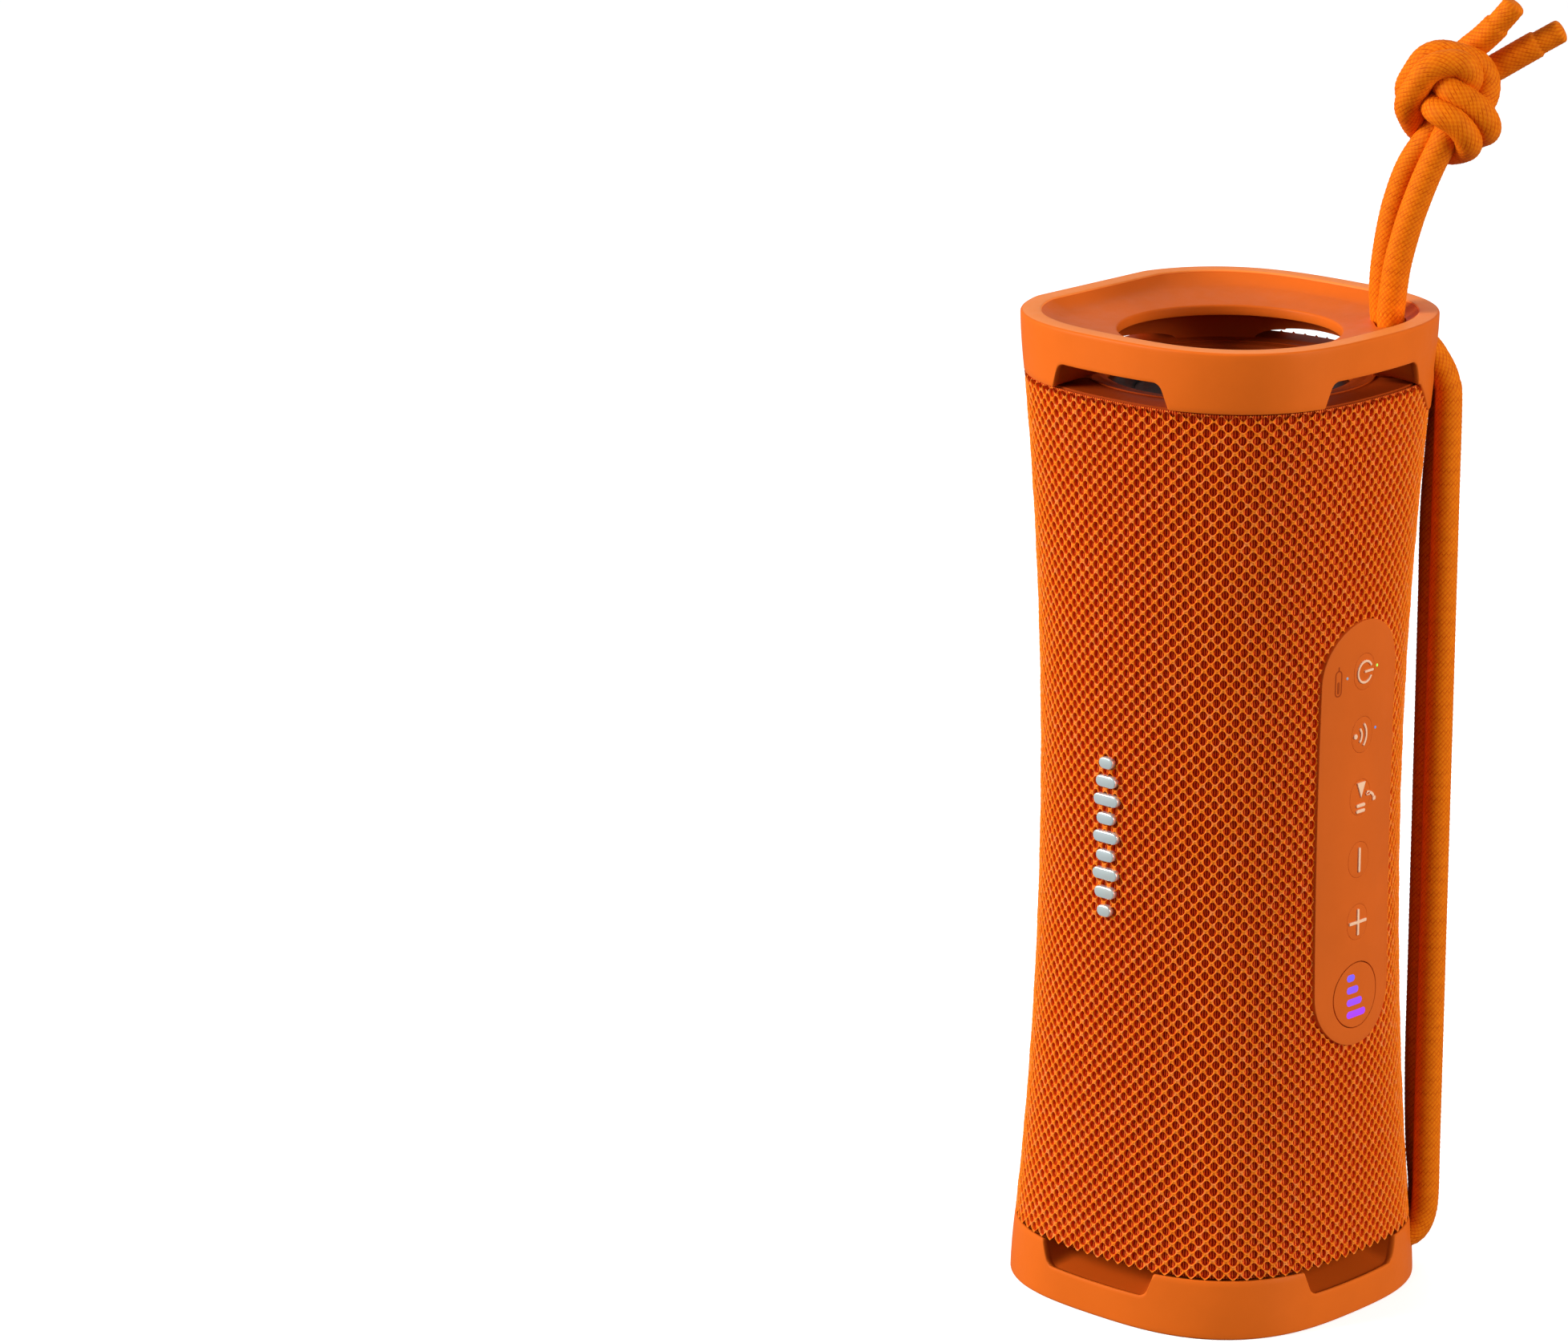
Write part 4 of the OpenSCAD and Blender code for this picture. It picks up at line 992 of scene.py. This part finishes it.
def end_cap(name, node, top):
    theta = np.linspace(0, TURN, CAP_COLUMNS, endpoint=False)
    z_of = (lambda u: BODY_H - u) if top else (lambda u: u)
    rings, painted_light_tones = cap_points(theta, top, z_of)
    rings[..., 2] = z_of(rings[..., 2])
    cap = quad_mesh(name, rings.reshape(-1, 3), grid_quads(len(rings), CAP_COLUMNS, True, True))
    # Painted highlight and painted shade, stored per point as the tone attribute
    tone = np.zeros(rings.shape[:2], np.float32)
    for first, last, value in painted_light_tones:
        tone[first:last] = value
    cap.data.attributes.new("tone", "FLOAT", "POINT").data.foreach_set("value", tone.ravel())
    face_outward(cap)
    if top:
        cut(cap, strap_cutter(NEAR_RUN[:8], (31.6, 208.5), (44.4, 180)))
    else:
        cut(cap, strap_cutter(NEAR_RUN[15:], (44.4, 30), (34, 8.9)))
    sharpen(cap, 38)
    finish_piece(cap, "cap_rubber", node)


# ---- Knitted sleeve ----

def angle_of_column():
    """Angles at which the sleeve's outline has even arc length, as a function of a column number."""
    theta = np.linspace(0, TURN, 4001)
    run = line_run(sleeve_at(theta, np.full_like(theta, MID_Z)))
    return lambda column: np.interp(np.asarray(column) % KNIT_COLUMNS, run / run[-1] * KNIT_COLUMNS, theta)


def in_stadium(a, b, length, width, margin):
    """True where (a, b) is inside a stadium made smaller by a margin, with its long side along a."""
    return np.hypot(np.maximum(np.abs(a) - (length - width) / 2, 0), b) < width / 2 - margin / 2


def not_knitted(centre):
    """True for cells under the panel, the port's frame, the strap's tongue and the end caps."""
    x, y, z = centre.T
    right, back = x > 20, y > 20
    covered = right & in_stadium(z - PANEL_Z, y, PANEL_L, PANEL_W, 3.4)
    covered |= back & in_stadium(x, z - PORT_Z, PORT_FRAME_W, PORT_FRAME_H, 3.2)
    covered |= (z < KNIT_LOW + 0.2) | (z > KNIT_HIGH - 0.2)
    across = np.abs((x - y) / ROOT2)
    tongue = BODY_H - CAP_H - np.minimum(TONGUE_H, (TONGUE_HALF - across) * TONGUE_SLOPE) + 1.2
    return covered | right & back & (across < TONGUE_HALF - 2) & (z > tongue)


def knitted_sleeve():
    """Open knit: one oval hole per cell of a diamond lattice, over a dark tube of spacer yarn."""
    to_angle = angle_of_column()
    rows = int((KNIT_HIGH - KNIT_LOW) / KNIT_PITCH)
    z0 = (KNIT_LOW + KNIT_HIGH - rows * KNIT_PITCH) / 2
    # Points round one cell, in columns and half rows: a diamond's corners and three points on each side
    t = np.array([0.0, 0.24, 0.5, 0.76])
    sides = (1 - t, t), (-t, 1 - t), (t - 1, -t), (t, t - 1)
    diamond = np.concatenate([np.stack(side, -1) for side in sides])
    around = len(diamond)
    bearing = np.arctan2(diamond[:, 1], diamond[:, 0])
    squash = 1 / np.hypot(np.cos(bearing) / HOLE_WIDE, np.sin(bearing) / HOLE_HIGH)
    hole = np.stack([squash * np.cos(bearing), squash * np.sin(bearing)], -1)
    corner_dip = np.where(np.arange(around) % 4 == 0, -0.13, 0.02)
    # Outline, height above the sleeve and depth into the hole of each of the cell's rings
    levels = [(diamond, corner_dip, 0.0), (hole * 0.75 + diamond * 0.25, -0.02, 0.1),
              (hole, -0.22, 0.45), (hole * 0.9, -0.85, 1.0)]
    shape = np.concatenate([outline for outline, _, _ in levels])
    drop = np.concatenate([np.full(around, height) for _, height, _ in levels])
    depth = np.repeat([level[2] for level in levels], around)
    quads = grid_quads(len(levels), around, False, True)
    per_strip = KNIT_COLUMNS // KNIT_STRIPS + 1
    for strip in range(KNIT_STRIPS):
        i, j = np.meshgrid(np.arange(strip * per_strip, min((strip + 1) * per_strip, KNIT_COLUMNS)),
                           np.arange(0, rows + 1), indexing="ij")
        i, j = i.ravel(), j.ravel() + (i.ravel() % 2) * 0.5
        kept = ~not_knitted(sleeve_at(to_angle(i), z0 + j * KNIT_PITCH))
        i, j = i[kept], j[kept]
        u = i[:, None] + shape[None, :, 0]
        v = j[:, None] + shape[None, :, 1] * 0.5
        z = z0 + v * KNIT_PITCH
        wobble = 0.04 * np.sin(u * 1.7 + v * 2.3) + 0.03 * np.sin(u * 0.6 - v * 1.1)
        points = sleeve_at(to_angle(u), z, drop + wobble * (1 - depth) - 0.04).reshape(-1, 3)
        faces = (quads[None] + (np.arange(len(i)) * len(shape))[:, None, None]).reshape(-1, 4)
        cell = np.stack([u, v, np.broadcast_to(depth, u.shape)], -1).reshape(-1, 3)
        # Weld neighbouring cells where their outlines meet
        key = np.round(points / 0.02).astype(np.int64)
        _, first, back = np.unique(key, axis=0, return_index=True, return_inverse=True)
        corners = back.ravel()[faces]
        uv = np.stack([(u.ravel() - u.min()) / (u.max() - u.min()), z.ravel() / BODY_H], -1)
        knit = quad_mesh(f"sleeve_knit_{strip + 1}", points[first], corners, uv[first][corners])
        set_cells(knit, "POINT", cell[first])
        finish_piece(knit, "sleeve_knit", *(["grille_sleeve"] if strip == 0 else []))
    knit_backing(to_angle)


def knit_backing(to_angle):
    """Closed tube of dark spacer yarn under the knit."""
    cols, rows = 340, 90
    column = np.linspace(0, KNIT_COLUMNS, cols, endpoint=False)
    z = np.linspace(KNIT_LOW + 0.1, KNIT_HIGH - 0.1, rows)
    rings = [(h, grow) for heights, grow in ((z, -0.82), (z[::-1], -1.18)) for h in heights]
    points = np.array([sleeve_at(to_angle(column), np.full(cols, h), grow) for h, grow in rings])
    points = points.reshape(-1, 3)
    obj = quad_mesh("sleeve_backing", points, grid_quads(len(rings), cols, True, True))
    height = np.repeat([h / KNIT_PITCH for h, _ in rings], cols)
    set_cells(obj, "POINT", np.stack([np.tile(column, len(rings)), height, np.ones(len(points))], -1))
    sharpen(face_outward(obj), 50)
    finish_piece(obj, "sleeve_knit", material=MATERIALS["sleeve_back"])


# ---- Control panel ----

def control_panel():
    outlines = [stadium(PANEL_L, PANEL_W, steps=40)]
    outlines += [stadium(KEY_L, KEY_W, (z - PANEL_Z, 0)) for z in KEY_Z.values()]
    outlines.append(circle(BOOST_D + 0.4, (BOOST_Z - PANEL_Z, 0), 72))
    face = side_plate("panel_face", outlines, 1.6, 0.08, PANEL_Z, PANEL_PROUD, (1.6, 1.6))
    finish_piece(face, "panel_rubber")
    outline = stadium(PANEL_L - 0.5, PANEL_W - 0.5, steps=40)
    base = side_plate("panel_base", [outline], 0.25, 0.05, PANEL_Z, -0.75, (2, 2))
    finish_piece(base, "panel_rubber", "control_panel")


def key_cap(name, outline, z, symbol, thickness, bevel, proud, material):
    """A key's top with its raised symbol, riding on the key's body."""
    cap = side_plate(name + "_cap", [outline], 0.6, 0.05, z, PANEL_PROUD, (1.3, 1.3))
    finish_piece(cap, "key_rubber", name, body=name)
    raised = side_plate(name + "_symbol", symbol, thickness, bevel, z, PANEL_PROUD + proud)
    finish_piece(raised, "key_rubber", body=name, material=material)


def symbol_shapes():
    """Raised symbols, drawn with x along +Z and y along +Y."""
    upright = lambda l, w, at: [(at[0] + y, at[1] + x) for x, y in stadium(l, w, steps=6)]
    power = [ring_piece(4.9, 3.95, 117, 423), upright(2.9, 0.5, (0.02, 1.25))]
    pairing = [circle(1.1, (0, -2.3), 20), ring_piece(4.3, 3.3, 42, 138, (0, -2.3)),
               ring_piece(7.3, 6.3, 48, 132, (0, -2.3))]
    play = [rounded([(3.2, -1.35), (3.2, 1.35), (-0.1, 0)], 0.15, 3), upright(2.8, 0.7, (-1.65, 0)),
            upright(2.8, 0.7, (-2.85, 0))]
    arm, half = 2.75, 0.32
    plus = [rounded([(arm, -half), (arm, half), (half, half), (half, arm), (-half, arm), (-half, half),
                     (-arm, half), (-arm, -half), (-half, -half), (-half, -arm), (half, -arm),
                     (half, -half)], 0.1, 3)]
    return {"power_key": power, "pairing_key": pairing, "play_key": play,
            "volume_down_key": [stadium(5.3, 0.64, steps=6)], "volume_up_key": plus}


def keys():
    shapes = symbol_shapes()
    for name, z in KEY_Z.items():
        outline = stadium(KEY_L - 0.06, KEY_W - 0.06)
        key_cap(name, outline, z, shapes[name], 0.8, 0.08, 0.3, MATERIALS["icon_rubber"])
    steps = [[(3.9 - 2.6 * i + x, y - 3 + length / 2) for y, x in stadium(length, 1.5, (0, 0), 8)]
             for i, length in enumerate((2.4, 3.6, 4.8, 6))]
    key_cap("boost_key", circle(BOOST_D, steps=72), BOOST_Z, steps, 0.6, 0.05, 0.06, boost_glow())


def panel_marks():
    """Three small lamps, the raised handset beside the play key and the printed battery mark."""
    for name, y, z, colour, power, *nodes in (
            ("power_lamp", 4.2, POWER_Z + 0.5, (0.30, 0.95, 0.10), 0.9, "indicator_lenses"),
            ("charge_lamp", -5.2, POWER_Z - 0.5, (0.25, 0.35, 0.45), 0.25),
            ("pairing_lamp", 4.4, POWER_Z - KEY_PITCH + 0.6, (0.08, 0.25, 0.7), 0.4)):
        lamp = side_plate(name, [circle(0.62, (0, y), 20)], 0.7, 0.08, z, PANEL_PROUD + 0.06)
        finish_piece(lamp, "indicator_lens", *nodes, material=glow(name, colour, power))
    handset = [ring_piece(4.3, 3.1, -28, 68, (-0.7, 2.6)),
               rounded([(1.1, 1.7), (1.7, 2.0), (1.4, 3.0), (0.7, 2.7)], 0.15, 3),
               rounded([(-0.8, 4.0), (-0.1, 4.0), (0.0, 5.05), (-0.8, 5.0)], 0.15, 3)]
    raised = side_plate("handset_symbol", handset, 0.7, 0.08, KEY_Z["play_key"] - 0.7, PANEL_PROUD + 0.28)
    finish_piece(raised, "key_rubber", material=MATERIALS["icon_rubber"])
    # The battery's outline, then its level and its pole
    y = -7.6
    parts = [[stadium(5.6, 1.9, (0, y), 6), stadium(5.0, 1.3, (0, y), 6)],
             [stadium(2.6, 0.6, (-0.9, y), 4), stadium(0.9, 0.35, (3.1, y), 4)]]
    printed = [side_plate("battery_mark", outlines, 0.3, 0.02, POWER_Z - 1.2, PANEL_PROUD + 0.04)
               for outlines in parts]
    mark = join("battery_mark", printed)
    finish_piece(mark, "panel_rubber", material=soft_touch("printed_mark", (0.42, 0.06, 0.006), 0.5))


# ---- Badge and charging port ----

def badge():
    outlines = [stadium(BADGE_BARS[abs(i)], 2.4, (0, i * BADGE_PITCH), 8) for i in range(-4, 5)]

    def rule(p):
        z = MID_Z - 0.4 + p[:, 1]
        return np.stack([p[:, 0], -(right_side_x(-p[:, 0], z) + 0.85 + p[:, 2]), z], -1)
    finish_piece(sharpen(plate("badge_bars", outlines, 1.4, 0.28, rule), 30), "badge_metal", "badge")


def port():
    """Charging port's frame, and its hinged cover with a grip, on the back."""
    for name, outlines, thickness, bevel, proud, body in (
            ("port_frame", [stadium(PORT_FRAME_W, PORT_FRAME_H, steps=32),
                            stadium(PORT_W + 0.7, PORT_H + 0.7, steps=32)], 1.6, 0.3, 0, "root"),
            ("port_flap", [stadium(PORT_W, PORT_H, steps=32)], 1.5, 0.3, 0, "port_cover"),
            ("port_flap_grip", [stadium(9, 0.9, (0, 2.6), 8), stadium(7, 0.9, (0, 1.2), 8)], 0.6, 0.12, 0.3,
             "port_cover")):
        rule = lambda p: np.stack([-p[:, 0], PORT_FACE + proud + p[:, 2], PORT_Z + p[:, 1]], -1)
        finish_piece(plate(name, outlines, thickness, bevel, rule), "port_rubber", body=body)


def radiators():
    """Each radiator's plate with its raised rings, and its rolled surround in an inner and an outer half."""
    rise = [((ROLL_R - PLATE_R) / 2 * (1 - math.cos(a)), 0.1 + ROLL_H * math.sin(a))
            for a in np.linspace(0, math.pi / 2, 10)]
    thick = lambda half: half + [(r, h - ROLL_T) for r, h in half[::-1]]
    lip = RADIATOR_FACE - CAP_H
    for end, z, up in (("top", BODY_H - RADIATOR_FACE, 1), ("bottom", RADIATOR_FACE, -1)):
        body = end + "_radiator"
        profile = [(0.02, 0.0), (6.0, 0.0), (6.3, -0.25), (6.6, 0.0), (14.5, 0.0), (15.0, 0.25), (17.6, 0.25),
                   (18.2, 0.05), (18.9, 0.0), (PLATE_R, -0.25), (PLATE_R, -2.0), (0.02, -2.0)]
        disc = lathe(body + "_disc", profile, z, up)
        finish_piece(disc, "radiator_plate", body + "_plate", body + "_weight", body=body)
        inner = lathe(end + "_surround_inner", thick([(PLATE_R + r, h) for r, h in rise]), z, up)
        inner.data.materials.append(MATERIALS["radiator_rubber"])
        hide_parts(body + "_surround")
        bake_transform(inner)
        outer = [(ROLL_R + 0.3, 0.0)] + thick([(ROLL_R - r, h) for r, h in rise])
        finish_piece(lathe(end + "_surround_outer", outer, z, up), "radiator_rubber")
        # Collar that leads from the end plate down to the surround
        collar = lathe(body + "_collar",
                       [(ROLL_R, -0.4), (ROLL_R, lip - 0.9), (ROLL_R + 0.3, lip - 0.5), (COLLAR_R, lip + 0.3),
                        (COLLAR_R, lip - 0.4), (ROLL_R + 1.9, lip - 1.0), (ROLL_R + 1.9, lip - 1.6),
                        (ROLL_R + 0.35, lip - 1.6), (ROLL_R + 0.35, -0.4)], z, up)
        finish_piece(collar, "end_plastic")


def make_all():
    make_camera()
    make_stage()
    dress_cad_nodes()
    free_strap()
    held_strap()
    end_cap("top_cap_shell", "top_end_cap", True)
    end_cap("bottom_cap_shell", "bottom_end_cap", False)
    knitted_sleeve()
    control_panel()
    keys()
    panel_marks()
    badge()
    port()
    radiators()


make_all()
